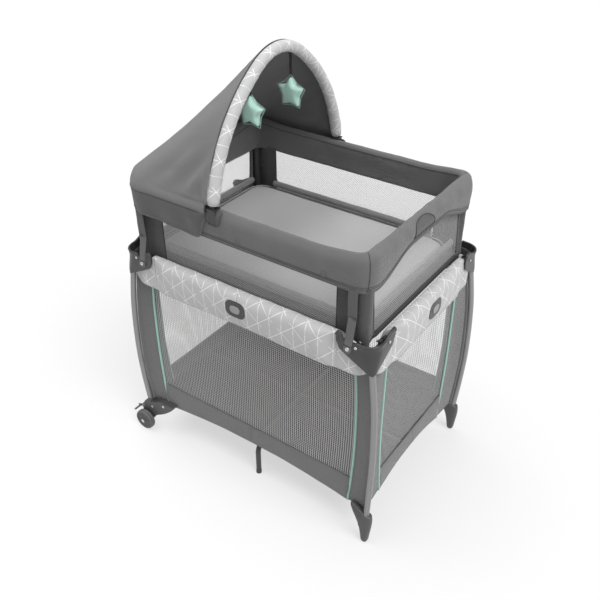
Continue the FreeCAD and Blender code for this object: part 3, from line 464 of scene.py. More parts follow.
def thicken(piece, thickness, offset=-1.0):
    """Give a sheet its thickness: inwards at -1, outwards at 1."""
    return modifier(piece, "SOLIDIFY", thickness=thickness, offset=offset)


def soften(piece, levels=1):
    """Subdivide smoothly."""
    return modifier(piece, "SUBSURF", levels=levels, render_levels=levels)


def bevel(piece, width, segments=2, angle=35):
    """Ease the edges that are sharper than an angle in degrees."""
    limit = math.radians(angle)
    return modifier(piece, "BEVEL", width=width, segments=segments, limit_method="ANGLE", angle_limit=limit)


def apply_modifiers(piece):
    """Bake the modifiers into the mesh."""
    graph = bpy.context.evaluated_depsgraph_get()
    mesh = bpy.data.meshes.new_from_object(piece.evaluated_get(graph))
    piece.modifiers.clear()
    old = piece.data
    piece.data = mesh
    bpy.data.meshes.remove(old)
    return piece


def join(name, pieces):
    """One object from several, each part keeping its own material."""
    for piece in pieces:
        if piece.modifiers:
            apply_modifiers(piece)
    with bpy.context.temp_override(active_object=pieces[0], selected_editable_objects=pieces):
        bpy.ops.object.join()
    pieces[0].name = name
    pieces[0].data.name = name
    return pieces[0]


def ring_about(centre, axis, radius, count=24, start=(0, 0, 1)):
    """Points of a circle about an axis."""
    axis = Vector(axis).normalized()
    side = axis.cross(Vector(start))
    if side.length < 1e-6:
        side = axis.cross(Vector((1, 0, 0)))
    side.normalize()
    up = side.cross(axis)
    points = []
    for step in range(count):
        angle = 2 * math.pi * step / count
        points.append(Vector(centre) + side * (radius * math.cos(angle)) + up * (radius * math.sin(angle)))
    return points


def turned_piece(name, centre, axis, profile, material, count=32):
    """A turned solid: profile lists (distance along the axis, radius)."""
    axis = Vector(axis).normalized()
    rings = []
    for along, radius in profile:
        rings.append(ring_about(Vector(centre) + axis * along, axis, max(radius, 1e-4), count))
    return loft(name, rings, material)


def frames_along(path, up=(0, 0, 1)):
    """A steady side and up direction at each point of a path."""
    frames = []
    side = None
    for i, point in enumerate(path):
        before = path[max(i - 1, 0)]
        after = path[min(i + 1, len(path) - 1)]
        ahead = (Vector(after) - Vector(before)).normalized()
        if side is None:
            side = ahead.cross(Vector(up))
            if side.length < 1e-6:
                side = ahead.cross(Vector((1, 0, 0)))
        side = side - ahead * side.dot(ahead)
        side.normalize()
        frames.append((Vector(point), ahead, side, side.cross(ahead)))
    return frames


def sweep(name, path, section, material, up=(0, 0, 1), scale=None):
    """Sweep a closed section, listed as (side, up) offsets, along a path."""
    rings = []
    for i, (point, _, side, rise) in enumerate(frames_along(path, up)):
        size = scale(i / (len(path) - 1)) if scale else 1.0
        rings.append([point + side * (a * size) + rise * (b * size) for a, b in section])
    return loft(name, rings, material)


def circle_section(radius, count=12):
    """A round section for sweep."""
    angles = [2 * math.pi * i / count for i in range(count)]
    return [(radius * math.cos(angle), radius * math.sin(angle)) for angle in angles]


def cord_tube(name, path, radius, material, count=8):
    """A thin round trim, such as piping, along a path."""
    return sweep(name, path, circle_section(radius, count), material)


def loop_point(run, distance, straight_x, straight_y, corner):
    """One point of the rounded rectangle: run 0 starts at the middle of the +X side."""
    starts = {
        0: ((straight_x + corner, 0), (0, 1)),
        2: ((straight_x, straight_y + corner), (-1, 0)),
        4: ((-straight_x - corner, straight_y), (0, -1)),
        6: ((-straight_x, -straight_y - corner), (1, 0)),
        8: ((straight_x + corner, -straight_y), (0, 1)),
    }
    if run in starts:
        (x, y), (dx, dy) = starts[run]
        normal = (dy, -dx)
        return (x + dx * distance, y + dy * distance), normal
    centres = {
        1: (straight_x, straight_y, 0),
        3: (-straight_x, straight_y, 90),
        5: (-straight_x, -straight_y, 180),
        7: (straight_x, -straight_y, 270),
    }
    x, y, start = centres[run]
    angle = math.radians(start) + distance / corner
    normal = (math.cos(angle), math.sin(angle))
    return (x + corner * normal[0], y + corner * normal[1]), normal


def wall_point(half_x, half_y, corner, offset, share):
    """A point at a share of the way round a rounded rectangle, moved out by offset."""
    straight_x = half_x - corner
    straight_y = half_y - corner
    quarter = math.pi * corner / 2
    half_loop = [quarter, 2 * straight_x, quarter]
    runs = [straight_y, *half_loop, 2 * straight_y, *half_loop, straight_y]
    distance = (share % 1.0) * sum(runs)
    run = 0
    while distance > runs[run]:
        distance -= runs[run]
        run += 1
    (x, y), normal = loop_point(run, distance, straight_x, straight_y, corner)
    return x + normal[0] * offset, y + normal[1] * offset


def on_side(long_side, along, across, height):
    """A point at a distance along a side and across from the middle of the object."""
    return (along, across, height) if long_side else (across, along, height)


def smooth_step(value, low, high):
    """0 below low, 1 above high, and a smooth rise between."""
    share = min(max((value - low) / (high - low), 0.0), 1.0)
    return share * share * (3 - 2 * share)


def through(points, share):
    """A smooth curve through a few points: Catmull-Rom, share from 0 to 1."""
    spans = len(points) - 1
    place = min(share * spans, spans - 1e-9)
    i = int(place)
    t = place - i
    p1 = points[i]
    p2 = points[i + 1]
    p0 = points[i - 1] if i > 0 else [2 * a - b for a, b in zip(p1, p2)]
    p3 = points[i + 2] if i + 2 <= spans else [2 * a - b for a, b in zip(p2, p1)]
    result = []
    for a, b, c, d in zip(p0, p1, p2, p3):
        result.append(
            0.5 * (2 * b + (c - a) * t + (2 * a - 5 * b + 4 * c - d) * t * t + (3 * b - a - 3 * c + d) * t**3)
        )
    return result


def even(points, samples=80):
    """A smooth curve through a few points, as a function of the share of its length."""
    table = [Vector(through(points, i / samples)) for i in range(samples + 1)]
    lengths = [0.0]
    for one, two in zip(table, table[1:]):
        lengths.append(lengths[-1] + (two - one).length)

    def at(share):
        distance = min(max(share, 0.0), 1.0) * lengths[-1]
        place = min(bisect.bisect_right(lengths, distance) - 1, samples - 1)
        part = (distance - lengths[place]) / max(lengths[place + 1] - lengths[place], 1e-9)
        return table[place].lerp(table[place + 1], part)

    return at


def place_at(piece, body):
    """Ride on a body."""
    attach(piece, body)
    return piece


def lined(piece, body, thickness, offset=-1.0):
    """Give a sheet its thickness and put it on a body."""
    thicken(piece, thickness, offset)
    apply_modifiers(piece)
    place_at(piece, body)


def trim(name, path, radius, material, body, count=8):
    """A thin round trim on a body."""
    return place_at(cord_tube(name, path, radius, material, count), body)


def puff(piece, pressure, cap, voxel=0.005, steps=20):
    """Blow a closed cloth form up a little by simulation, no further than cap, and smooth it."""
    modifier(piece, "REMESH", mode="VOXEL", voxel_size=voxel, use_smooth_shade=True)
    apply_modifiers(piece)
    start = [vertex.co.copy() for vertex in piece.data.vertices]
    cloth = piece.modifiers.new("cloth", "CLOTH")
    cloth.settings.use_pressure = True
    cloth.settings.uniform_pressure_force = pressure
    cloth.settings.effector_weights.gravity = 0.0
    cloth.settings.quality = 4
    scene = bpy.context.scene
    for step in range(1, steps + 1):
        scene.frame_set(step)
    graph = bpy.context.evaluated_depsgraph_get()
    moved = piece.evaluated_get(graph).to_mesh()
    ends = []
    for first, vertex in zip(start, moved.vertices):
        shift = vertex.co - first
        if shift.length > cap:
            shift *= cap / shift.length
        ends.append(first + shift)
    piece.modifiers.clear()
    for vertex, end in zip(piece.data.vertices, ends):
        vertex.co = end
    scene.frame_set(1)
    soften(piece, 1)
    apply_modifiers(piece)
    return piece


# ---------------------------------------------------------------- yard: padded bands


BAND_PROFILE = [
    (-0.0475, 0.812),
    (-0.0480, 0.842),
    (-0.0400, 0.864),
    (-0.0240, 0.8695),
    (-0.0080, 0.8650),
    (0.0008, 0.846),
    (0.0015, 0.810),
    (-0.0030, 0.775),
    (-0.0105, BAND_FOOT),
]
BAND_CURVE = even(BAND_PROFILE)
BAND_LENGTH = 0.218
BAND_ENDS = {"long": 0.379, "short": 0.247}


def band_shape(across, along, end, v, seed):
    """(offset, height) of the padded band at a distance along its side; it thins towards the hub."""
    offset, height = BAND_CURVE(v)
    near_hub = smooth_step(along, end - 0.075, end)
    # padding: shallow puckers that fade towards the seams
    pucker = 0.0010 * math.sin(along * 58 + seed) * math.sin(math.pi * v) ** 2
    pucker += 0.0018 * (noise.noise(Vector((along * 14, v * 5, seed * 3 + across))) - 0.1)
    offset += pucker * smooth_step(v, 0.05, 0.3)
    offset = min(offset, 0.0022 - 0.0205 * near_hub)
    height -= 0.006 * smooth_step(along, 0.0, end) * smooth_step(v, 0.7, 1.0)
    return offset, height


def band_half(side, half, body):
    """One half of a padded band: it covers a half rail from the latch to the corner hub."""
    long_side = side in ROWS
    sign = SIGNS[side]
    toward = SIGNS[half]
    across = BAND_Y if long_side else BAND_X
    end = BAND_ENDS["long" if long_side else "short"]

    def point(u, v):
        along = u * end
        offset, height = band_shape(across, along, end, v, sign)
        return on_side(long_side, toward * along, sign * (across + offset), height)

    turned = (sign * toward < 0) == long_side
    piece = grid(f"band_{side}_{half}", 48, 30, point, (end, BAND_LENGTH), PRINT, flip=turned)
    lined(piece, body, 0.0022, 1.0)
    edge = [point(step / 24, 0.993) for step in range(25)]
    edging = trim(f"band_edge_{side}_{half}", edge, 0.0015, PALE_TRIM, body)
    for item in (piece, edging):
        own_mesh(item)
    return piece


def all_bands():
    """The eight half bands, each on its half rail."""
    bands = [band_half(side, half, f"half_rail_{side}_{half}") for side, half in HALVES]
    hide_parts("yard_shell")


# ---------------------------------------------------------------- yard: mesh walls and corners


PIPING_LONG = [(0.428, 0.150), (0.437, 0.25), (0.4445, 0.42), (0.4425, 0.60), (0.4345, 0.72), (0.428, 0.80)]
PIPING_SHORT = [(0.229, 0.150), (0.239, 0.25), (0.2505, 0.42), (0.2500, 0.60), (0.2480, 0.72), (0.246, 0.80)]


def piping_at(points, height):
    """How far along a side its piping is, at a height."""
    low = points[0][1]
    high = points[-1][1]
    share = min(max((height - low) / (high - low), 0.0), 1.0)
    for _ in range(4):
        along, level = through(points, share)
        share = min(max(share + (height - level) / (high - low), 0.0), 1.0)
    return along


def hem_foot(full, along):
    """The lower edge of the hem: an arch that is lowest at the corners."""
    share = min(abs(along) / full, 1.0)
    return 0.172 - 0.036 * share**2


def side_place(side, half, along, out, height):
    """A point of a side: along it from its middle, out from the mesh plane."""
    long_side = side in ROWS
    plane = MESH_Y if long_side else MESH_X
    return on_side(long_side, SIGNS[half] * along, SIGNS[side] * (plane + out), height)


def wall_half(side, half, leg):
    """Half of a side: a mesh window, its hem and its binding, all on the nearer leg."""
    long_side = side in ROWS
    way = "long" if long_side else "short"
    points = PIPING_LONG if long_side else PIPING_SHORT
    top = 0.803
    full = SIDE_HALF[way]

    def window(u, v):
        height = HEM_TOP - 0.004 + (top - HEM_TOP) * v
        along = u * piping_at(points, height)
        # tension lines: the net pulls in a little between its edges
        pull = -0.004 * math.sin(math.pi * v) * math.cos(math.pi * u / 2)
        ripple = 0.0012 * noise.noise(Vector((along * 9, height * 5, SIGNS[side] * 7)))
        return side_place(side, half, along, pull + ripple, height)

    turned = (SIGNS[side] * SIGNS[half] < 0) == long_side
    net = grid(f"net_{side}_{half}", 20, 26, window, (full, top - HEM_TOP), YARD_NET, flip=turned)

    def hem(u, v):
        low = hem_foot(full, u * full)
        height = low + (HEM_TOP - low) * v
        along = u * piping_at(points, height)
        belly = 0.0035 * math.sin(math.pi * v) + 0.002
        ripple = 0.0012 * noise.noise(Vector((along * 12, height * 9, SIGNS[side] * 3)))
        return side_place(side, half, along, belly + ripple, height)

    lower = grid(f"hem_{side}_{half}", 24, 10, hem, (full, 0.1), HEM, flip=turned)
    place_at(net, leg)
    lined(lower, leg, 0.003)
    seam = [hem(step / 24, 0.97) for step in range(25)]
    stitch = trim(f"hem_seam_{side}_{half}", seam, 0.0016, DARK_TRIM, leg, 6)
    edge = [hem(step / 24, 0.0) for step in range(25)]
    fold = trim(f"hem_edge_{side}_{half}", edge, 0.0028, HEM_EDGE, leg)
    anchor = side_place(side, half, LEG_LINE[way], 0, 0.4)
    for item in (net, lower, stitch, fold):
        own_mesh(item)


# the leg's centre line at the back right corner, from its foot to the hub
LEG_PATH = [
    (0.515, 0.346, 0.114),
    (0.5245, 0.3542, 0.27),
    (0.5290, 0.3575, 0.425),
    (0.5215, 0.3560, 0.62),
    (0.5000, 0.3515, 0.79),
]
LEG_CURVE = [through(LEG_PATH, i / 60) for i in range(61)]


def leg_at(height):
    """The leg's centre in plan, at a height."""
    for low, high in zip(LEG_CURVE, LEG_CURVE[1:]):
        if height <= high[2]:
            part = (height - low[2]) / (high[2] - low[2])
            part = min(max(part, 0.0), 1.0)
            return low[0] + (high[0] - low[0]) * part, low[1] + (high[1] - low[1]) * part
    return LEG_CURVE[-1][0], LEG_CURVE[-1][1]


def corner_panel(row, column):
    """The dark cloth that wraps behind a leg between the two pipings, drawn out to the leg."""
    sx, sy = SIGNS[column], SIGNS[row]
    body = f"leg_{row}_{column}"

    def plan(height):
        x, y = leg_at(height)
        start = piping_at(PIPING_LONG, height)
        stop = piping_at(PIPING_SHORT, height)
        outset = 0.0028
        return even(
            [
                (start, MESH_Y + outset),
                (start * 0.62 + x * 0.38, MESH_Y + outset + (y - MESH_Y) * 0.16),
                (x - 0.0150, y - 0.0140),
                (x - 0.0050, y - 0.0134),
                (x - 0.0102, y - 0.0100),
                (x - 0.0134, y - 0.0050),
                (x - 0.0140, y - 0.0150),
                (MESH_X + outset + (x - MESH_X) * 0.16, stop * 0.60 + y * 0.40),
                (MESH_X + outset, stop),
            ],
            60,
        )

    rows = 30
    levels = [plan(0.138 + (0.800 - 0.138) * j / rows) for j in range(rows + 1)]

    def point(u, v, out=0.0):
        height = 0.138 + (0.800 - 0.138) * v
        x, y = levels[min(round(v * rows), rows)](u)
        ripple = 0.0012 * noise.noise(Vector((u * 4, v * 7, sx + 2 * sy))) * math.sin(math.pi * u)
        side = math.pi / 2 * u
        return (sx * (x + out * math.sin(side) - abs(ripple)), sy * (y + out * math.cos(side)), height)

    panel = grid(f"corner_panel_{row}_{column}", 48, rows, point, (0.19, 0.66), HEM, flip=sx * sy > 0)
    lined(panel, body, 0.0022)
    for name, edge in (("long", 0.0), ("short", 1.0)):
        path = [point(edge, step / rows, 0.0012) for step in range(rows + 1)]
        trim(f"piping_{name}_{row}_{column}", path, 0.0042, MINT_PIPING, body, 10)


def gusset(row, column):
    """The end of the padded band that runs on under the corner hub to the leg, on both sides."""
    sx, sy = SIGNS[column], SIGNS[row]
    body = f"leg_{row}_{column}"
    stops = {"long": (BAND_ENDS["long"], 0.4985, BAND_Y), "short": (BAND_ENDS["short"], 0.3485, BAND_X)}
    for name, (start, stop, across) in stops.items():

        def point(u, v):
            along = start + 0.0008 + (stop - start) * u
            offset, height = band_shape(across, start, start, v, sy if name == "long" else sx)
            # under the hub the cloth lies flat, and its foot rounds up to the leg
            flat = smooth_step(u, 0.0, 0.35)
            offset = offset + (-0.0175 - offset) * flat * smooth_step(v, 0.35, 0.6)
            offset -= 0.0125 * smooth_step(u, 0.45, 0.95)
            foot = BAND_FOOT - 0.004 + 0.030 * max(u - 0.55, 0.0) ** 2 / 0.2
            lift = smooth_step(v, 0.45, 1.0)
            height = height * (1 - lift) + (height + foot - (BAND_FOOT - 0.006)) * lift
            height = min(height, 0.8695 - 0.046 * smooth_step(u, 0.02, 0.24))
            x, y, _ = on_side(name == "long", along, across + offset, height)
            return (sx * x, sy * y, height)

        size = (stop - start, BAND_LENGTH)
        turned = (sx * sy < 0) == (name == "long")
        piece = grid(f"band_end_{name}_{row}_{column}", 24, 30, point, size, PRINT, flip=turned)
        lined(piece, body, 0.0020, 1.0)
        edge = [point(step / 20, 0.993) for step in range(21)]
        trim(f"band_end_edge_{name}_{row}_{column}", edge, 0.0015, PALE_TRIM, body, 6)


def yard_floor():
    """The floor cloth in four quarters, each on its floor tube."""
    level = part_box("floor_cloth")[1][2]
    for row, column in CORNERS:
        sx, sy = SIGNS[column], SIGNS[row]

        def point(u, v):
            sag = 0.003 * noise.noise(Vector((u * 5, v * 5, sx + 3 * sy)))
            x = u * (MESH_X - 0.004)
            y = v * (MESH_Y - 0.004)
            return (sx * x, sy * y, level + sag * math.sin(math.pi * u) * math.sin(math.pi * v))

        piece = grid(
            f"floor_cloth_{row}_{column}", 20, 16, point, (0.49, 0.32), FLOOR_CLOTH, flip=sx * sy < 0
        )
        lined(piece, f"floor_tube_{row}_{column}", 0.0025)
        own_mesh(piece)
    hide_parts("floor_cloth")


# ---------------------------------------------------------------- bassinet


def rim_foot(share):
    """The lower edge of the rim band: it arches up at the two ends."""
    x, y = wall_point(RIM_X, RIM_Y, RIM_CORNER, 0, share)
    if abs(x) < RIM_X - 0.03:
        return RIM_FOOT
    return RIM_FOOT + 0.055 * (1 - smooth_step(abs(y), 0.10, 0.30))


@functools.lru_cache(maxsize=1024)
def rim_profile(u):
    """The rim band's section at a share of the way round, from its outer foot over to its inner foot.

    The rim is a little higher and thicker over its two ends, where it is padded.
    """
    x, _ = wall_point(RIM_X, RIM_Y, RIM_CORNER, 0, u)
    lift = 0.014 * smooth_step(abs(x), RIM_X - 0.20, RIM_X)
    width = 0.034 + 0.012 * smooth_step(abs(x), RIM_X - 0.12, RIM_X)
    foot = rim_foot(u)
    top = RIM_TOP - 0.004 + lift
    return even(
        [
            (-0.003, foot),
            (0.0005, foot + (top - foot) * 0.25),
            (0.0030, foot + (top - foot) * 0.58),
            (-0.0005, top - 0.018),
            (-0.011, top - 0.002),
            (-width * 0.55, top + 0.004),
            (-width * 0.92, top - 0.006),
            (-width, top - 0.030),
            (-width + 0.001, top - 0.068),
            (-width + 0.001, RIM_FOOT + 0.001),
        ]
    )


def rim_point(u, v, out=0.0):
    """A point of the rim band's cloth, moved out by a little."""
    offset, height = rim_profile(u)(v)
    turn = 2 * math.pi * u
    pucker = 0.0009 * math.sin(46 * turn) * math.sin(math.pi * min(v * 1.6, 1.0)) ** 2
    pucker += 0.0026 * noise.noise(Vector((math.cos(turn) * 7, math.sin(turn) * 7, v * 4)))
    pucker += 0.0012 * noise.noise(Vector((math.cos(turn) * 26, math.sin(turn) * 26, v * 3)))
    x, y = wall_point(RIM_X, RIM_Y, RIM_CORNER, offset + out + pucker * smooth_step(v, 0.0, 0.15), u)
    return (x, y, height)


def rim_band():
    """The padded band that wraps over the rim tube, with its hem and seams."""
    band = grid("bassinet_rim_band", 220, 34, rim_point, (3.25, 0.27), CHARCOAL, closed=True)
    lined(band, "bassinet", 0.0025)
    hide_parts("bassinet_shell")
    for name, share in (("low", 0.045), ("high", 0.070)):
        hem = [rim_point(step / 200, share, 0.0002) for step in range(201)]
        trim(f"rim_hem_seam_{name}", hem, 0.0009, DARK_TRIM, "bassinet", 6)
    edge = [rim_point(step / 200, 0.0) for step in range(201)]
    trim("rim_edge", edge, 0.0022, HEM_EDGE, "bassinet", 6)
    inner = [rim_point(step / 200, 0.60, -0.0004) for step in range(201)]
    trim("rim_inner_seam", inner, 0.0012, DARK_TRIM, "bassinet", 6)
    for name, share in corner_shares().items():
        path = [Vector(rim_point(share, 0.02 + 0.5 * step / 20, 0.0004)) for step in range(21)]
        trim(f"rim_corner_seam_{name}", path, 0.0011, DARK_TRIM, "bassinet", 6)


def grip_pocket():
    """A dark half-oval patch on the rim band at the +X end: painted shade where the grip opening is."""
    straight = 2 * (RIM_X - RIM_CORNER) + 2 * (RIM_Y - RIM_CORNER)
    total = 2 * straight + 2 * math.pi * RIM_CORNER
    centre = -0.040
    half = 0.066

    def point(u, v, out=0.0010):
        across = 2 * u - 1
        share = (centre + half * across) / total
        height = math.sqrt(max(1 - across**2, 0.0))
        return rim_point(share % 1.0, 0.10 + 0.235 * height * v, out)

    # the dark patch lies over the band: painted shade in place of the opening
    patch = grid("grip_pocket", 28, 10, point, (0.13, 0.05), DARK_CLOTH_AND_SHADE)
    lined(patch, "bassinet", 0.0012)
    edge = [point(step / 40, 1.0, 0.0016) for step in range(41)]
    edge += [point(1 - step / 20, 0.0, 0.0016) for step in range(1, 20)]
    trim("grip_pocket_edge", edge + edge[:2], 0.0017, DARK_TRIM, "bassinet", 6)


def corner_shares():
    """Where the rim's four corners are, as shares of the way round."""
    found = {}
    for i in range(400):
        share = i / 400
        x, y = wall_point(RIM_X, RIM_Y, RIM_CORNER, 0, share)
        row = "back" if y > 0 else "front"
        column = "right" if x > 0 else "left"
        name = f"{row}_{column}"
        reach_out = abs(x) - RIM_X + abs(y) - RIM_Y
        if name not in found or reach_out > found[name][1]:
            found[name] = (share, reach_out)
    return {name: share for name, (share, _) in found.items()}


def snap(name, x, y, z, nx, ny):
    """A press stud on the rim band."""
    # height and radius: a raised ring round a small button
    profile = [
        (-0.001, 0.0085),
        (0.0012, 0.0088),
        (0.0026, 0.0078),
        (0.0030, 0.0058),
        (0.0018, 0.0046),
        (0.0018, 0.0030),
        (0.0026, 0.0016),
        (0.0028, 0.0),
    ]
    piece = turned_piece(name, (x, y, z), (nx, ny, 0), profile, MID_PLASTIC, 24)
    place_at(piece, "bassinet")


WINDOW_X = 0.353
WINDOW_Y = 0.286
BED_WALL_FOOT = 0.849
END_WALL_FOOT = 0.8605


def bed_plane(long_side, height):
    """Where a bassinet wall stands at a height: the end walls lean out over the base rail."""
    if long_side:
        return WALL_Y + 0.0012
    share = min(max((RIM_FOOT - height) / (RIM_FOOT - END_WALL_FOOT), 0.0), 1.0)
    return WALL_X + 0.004 + 0.0105 * share


def bed_walls():
    """Mesh windows down to the base rail, with a padded roll inside at the mattress."""
    top = RIM_FOOT + 0.004
    for side in ("front", "back", "left", "right"):
        sign = SIGNS[side]
        long_side = side in ROWS
        half = WINDOW_X if long_side else WINDOW_Y
        raised = 0.0 if long_side else 0.05
        low = BED_WALL_FOOT if long_side else END_WALL_FOOT

        def place(along, out, height):
            return on_side(long_side, along, sign * (bed_plane(long_side, height) + out), height)

        def window(u, v):
            along = (2 * u - 1) * half
            ceiling = top + raised * (1 - smooth_step(abs(along), 0.06, 0.25))
            height = low + (ceiling - low) * v
            ripple = 0.0020 * noise.noise(Vector((along * 7, height * 10, sign * 5)))
            ripple *= math.sin(math.pi * v)
            return place(along, -0.003 * math.sin(math.pi * v) * math.sin(math.pi * u) + ripple, height)

        net = grid(
            f"bed_net_{side}", 36, 16, window, (2 * half, top - low), BED_NET, flip=(sign > 0) == long_side
        )
        place_at(net, "bassinet")

        def roll(u, v):
            along = (2 * u - 1) * (half - 0.004)
            angle = 2 * math.pi * v
            radius = 0.0125 + 0.0018 * noise.noise(Vector((along * 18, angle, sign)))
            height = BED_TOP + 0.014 + radius * math.sin(angle)
            plane = bed_plane(long_side, height)
            out = plane - 0.0180 + radius * 0.8 * math.cos(angle)
            return on_side(long_side, along, sign * out, height)

        pad = grid(f"liner_roll_{side}", 48, 14, roll, (2 * half, 0.08), LINER)
        place_at(pad, "bassinet")
        rail = [window(step / 30, 0.0) for step in range(31)]
        trim(f"bed_foot_binding_{side}", rail, 0.0042, DARK_TRIM, "bassinet")
        for end in (0.0, 1.0):
            upright = [window(end, step / 12) for step in range(13)]
            trim(f"bed_side_binding_{side}_{end:.0f}", upright, 0.0026, DARK_TRIM, "bassinet", 6)


def bed_corner(row, column):
    """The dark cloth at a corner of the bassinet, between two windows and round the post."""
    sx, sy = SIGNS[column], SIGNS[row]
    rows = 14
    levels = []
    for j in range(rows + 1):
        height = BED_WALL_FOOT + (RIM_FOOT + 0.012 - BED_WALL_FOOT) * j / rows
        plane_x = bed_plane(False, height)
        plane_y = bed_plane(True, height)
        levels.append(
            even(
                [
                    (WINDOW_X, plane_y),
                    (0.400, plane_y + 0.0006),
                    (0.436, plane_y + 0.0110),
                    (0.4570, 0.3345),
                    (0.4650, 0.3180),
                    (plane_x + 0.001, 0.300),
                    (plane_x, WINDOW_Y),
                ],
                60,
            )
        )

    def point(u, v):
        x, y = levels[min(round(v * rows), rows)](u)
        height = BED_WALL_FOOT + (RIM_FOOT + 0.012 - BED_WALL_FOOT) * v
        ripple = 0.0014 * noise.noise(Vector((u * 5, v * 4, sx + 2 * sy))) * math.sin(math.pi * u)
        return (sx * (x + ripple), sy * (y + ripple), height)

    panel = grid(
        f"bed_corner_{row}_{column}", 44, rows, point, (0.22, 0.18), CORNER_CLOTH, flip=sx * sy > 0
    )
    lined(panel, "bassinet", 0.0022, 0.0)
    foot = [point(step / 30, 0.0) for step in range(31)]
    trim(f"bed_corner_foot_{row}_{column}", foot, 0.0040, DARK_TRIM, "bassinet")


def post_sleeve(row, column):
    """The cloth sleeve round a bassinet post, with the strap that ends in the latch tab."""
    sx, sy = SIGNS[column], SIGNS[row]
    x = sx * POST_X
    y = sy * POST_Y
    if row == "front":
        rings = []
        foot = 0.822
        top = RIM_FOOT + 0.02
        for step in range(33):
            share = step / 32
            height = foot + (top - foot) * share
            radius = 0.0195 + 0.0035 * smooth_step(share, 0.10, 0.6)
            ring = []
            for i in range(40):
                angle = 2 * math.pi * i / 40
                right, ahead = math.cos(angle), math.sin(angle)
                seam = 0.0012 * math.exp(-(((math.degrees(angle) % 360 - 250) / 6) ** 2))
                wrinkle = 0.0008 * noise.noise(Vector((right * 3, ahead * 3, height * 40)))
                reach_out = radius + seam + wrinkle
                ring.append((x + sx * reach_out * right, y - sy * reach_out * ahead, height))
            rings.append(ring)
        sleeve = loft(f"post_sleeve_{row}_{column}", rings, CORNER_CLOTH)
        if sx * sy > 0:
            sleeve.data.flip_normals()
        place_at(sleeve, "bassinet")
        head = [(-0.001, 0.0050), (0.0012, 0.0048), (0.0022, 0.0034), (0.0026, 0.0)]
        stud = turned_piece(f"post_stud_{column}", (x, y - 0.0195, 0.852), (0, -1, 0), head, STEEL, 20)
        place_at(stud, "bassinet")
    else:
        collar = turned_piece(
            f"post_collar_{column}",
            (x, y, RIM_FOOT - 0.020),
            (0, 0, 1),
            [(0.0, 0.0150), (0.002, 0.0178), (0.006, 0.0186), (0.030, 0.0192), (0.040, 0.0192)],
            PLASTIC,
        )
        place_at(collar, "bassinet")

    def strap(u, v):
        across = (u - 0.5) * 0.032
        top_y = 0.3545
        height = 0.9425 + (RIM_FOOT + 0.014 - 0.9425) * v
        bow_out = 0.0015 * math.sin(math.pi * v)
        out = 0.3525 + (top_y - 0.3525) * v + bow_out
        return (sx * (TAB_PIVOT[0] + across), sy * out, height)

    band = grid(f"latch_strap_{row}_{column}", 6, 14, strap, (0.032, 0.11), STRAP)
    lined(band, "bassinet", 0.0018, 0.0)


def mattress():
    """The mattress: a crowned pad with a piped edge, blown up a little by simulation."""
    levels = [(-1.0, -0.010), (-0.72, -0.0015), (-0.3, 0.0), (0.3, 0.0), (0.72, -0.0015), (1.0, -0.010)]
    middle = (BED_FOOT + BED_TOP) / 2
    half = (BED_TOP - BED_FOOT) / 2 - 0.003
    inset = 0.006
    count = 120
    rings = []
    for rise, out in levels:
        ring = []
        for i in range(count):
            x, y = wall_point(BED_X - inset, BED_Y - inset, 0.06, out, i / count)
            ring.append((x, y, middle + rise * half))
        rings.append(ring)
    for reach_in in (0.75, 0.45):
        rings.append([(x * reach_in, y * reach_in, middle + half + 0.004) for x, y, _ in rings[5]])
    pad = loft("mattress_pad", rings, MATTRESS)
    puff(pad, 3.0, 0.006, 0.006)
    for vertex in pad.data.vertices:
        point = vertex.co
        wave = noise.noise(Vector((point.x * 5, point.y * 9, 1.5))) * 0.0026
        wave += noise.noise(Vector((point.x * 16, point.y * 5, 4.0))) * 0.0012
        if point.z > middle:
            point.z += wave
        point.z = min(point.z, BED_TOP + 0.006)
    place_at(pad, "bassinet")
    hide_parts("bassinet_mattress")
    path = []
    for i in range(161):
        x, y = wall_point(BED_X - inset, BED_Y - inset, 0.06, 0.0025, i / 160)
        path.append((x, y, BED_TOP - 0.006))
    trim("mattress_piping", path, 0.0026, LINER_TRIM, "bassinet")

    def under(u, v):
        return ((2 * u - 1) * (WALL_X + 0.0125), (2 * v - 1) * (WALL_Y - 0.001), SHELL_FOOT + 0.0012)

    base = grid("bassinet_floor", 8, 8, under, (0.86, 0.62), CHARCOAL)
    lined(base, "bassinet", 0.0025)


# ---------------------------------------------------------------- canopy


BOW_SIDE_RADIUS = 0.548
BOW_SIDE_CENTRE = (-0.1887, 1.0617)
BOW_TOP_RADIUS = 0.190
BOW_TOP_CENTRE = 1.366


def bow_line(share, grow=0.0):
    """(y, z) on the bow's centre line, from the front foot (0) over the top to the back foot (1)."""
    half = abs(share - 0.5) * 2
    side = 1 if share > 0.5 else -1
    dy = -BOW_SIDE_CENTRE[0]
    joint = math.atan2(BOW_TOP_CENTRE - BOW_SIDE_CENTRE[1], dy)
    low = math.asin((1.153 - BOW_SIDE_CENTRE[1]) / BOW_SIDE_RADIUS)
    top_arc = BOW_TOP_RADIUS * (math.pi / 2 - joint)
    side_arc = BOW_SIDE_RADIUS * (joint - low)
    distance = half * (top_arc + side_arc)
    if distance < top_arc:
        angle = math.pi / 2 - distance / BOW_TOP_RADIUS
        reach_out = BOW_TOP_RADIUS + grow
        return side * reach_out * math.cos(angle), BOW_TOP_CENTRE + reach_out * math.sin(angle)
    angle = joint - (distance - top_arc) / BOW_SIDE_RADIUS
    reach_out = BOW_SIDE_RADIUS + grow
    y = BOW_SIDE_CENTRE[0] + reach_out * math.cos(angle)
    return side * y, BOW_SIDE_CENTRE[1] + reach_out * math.sin(angle)


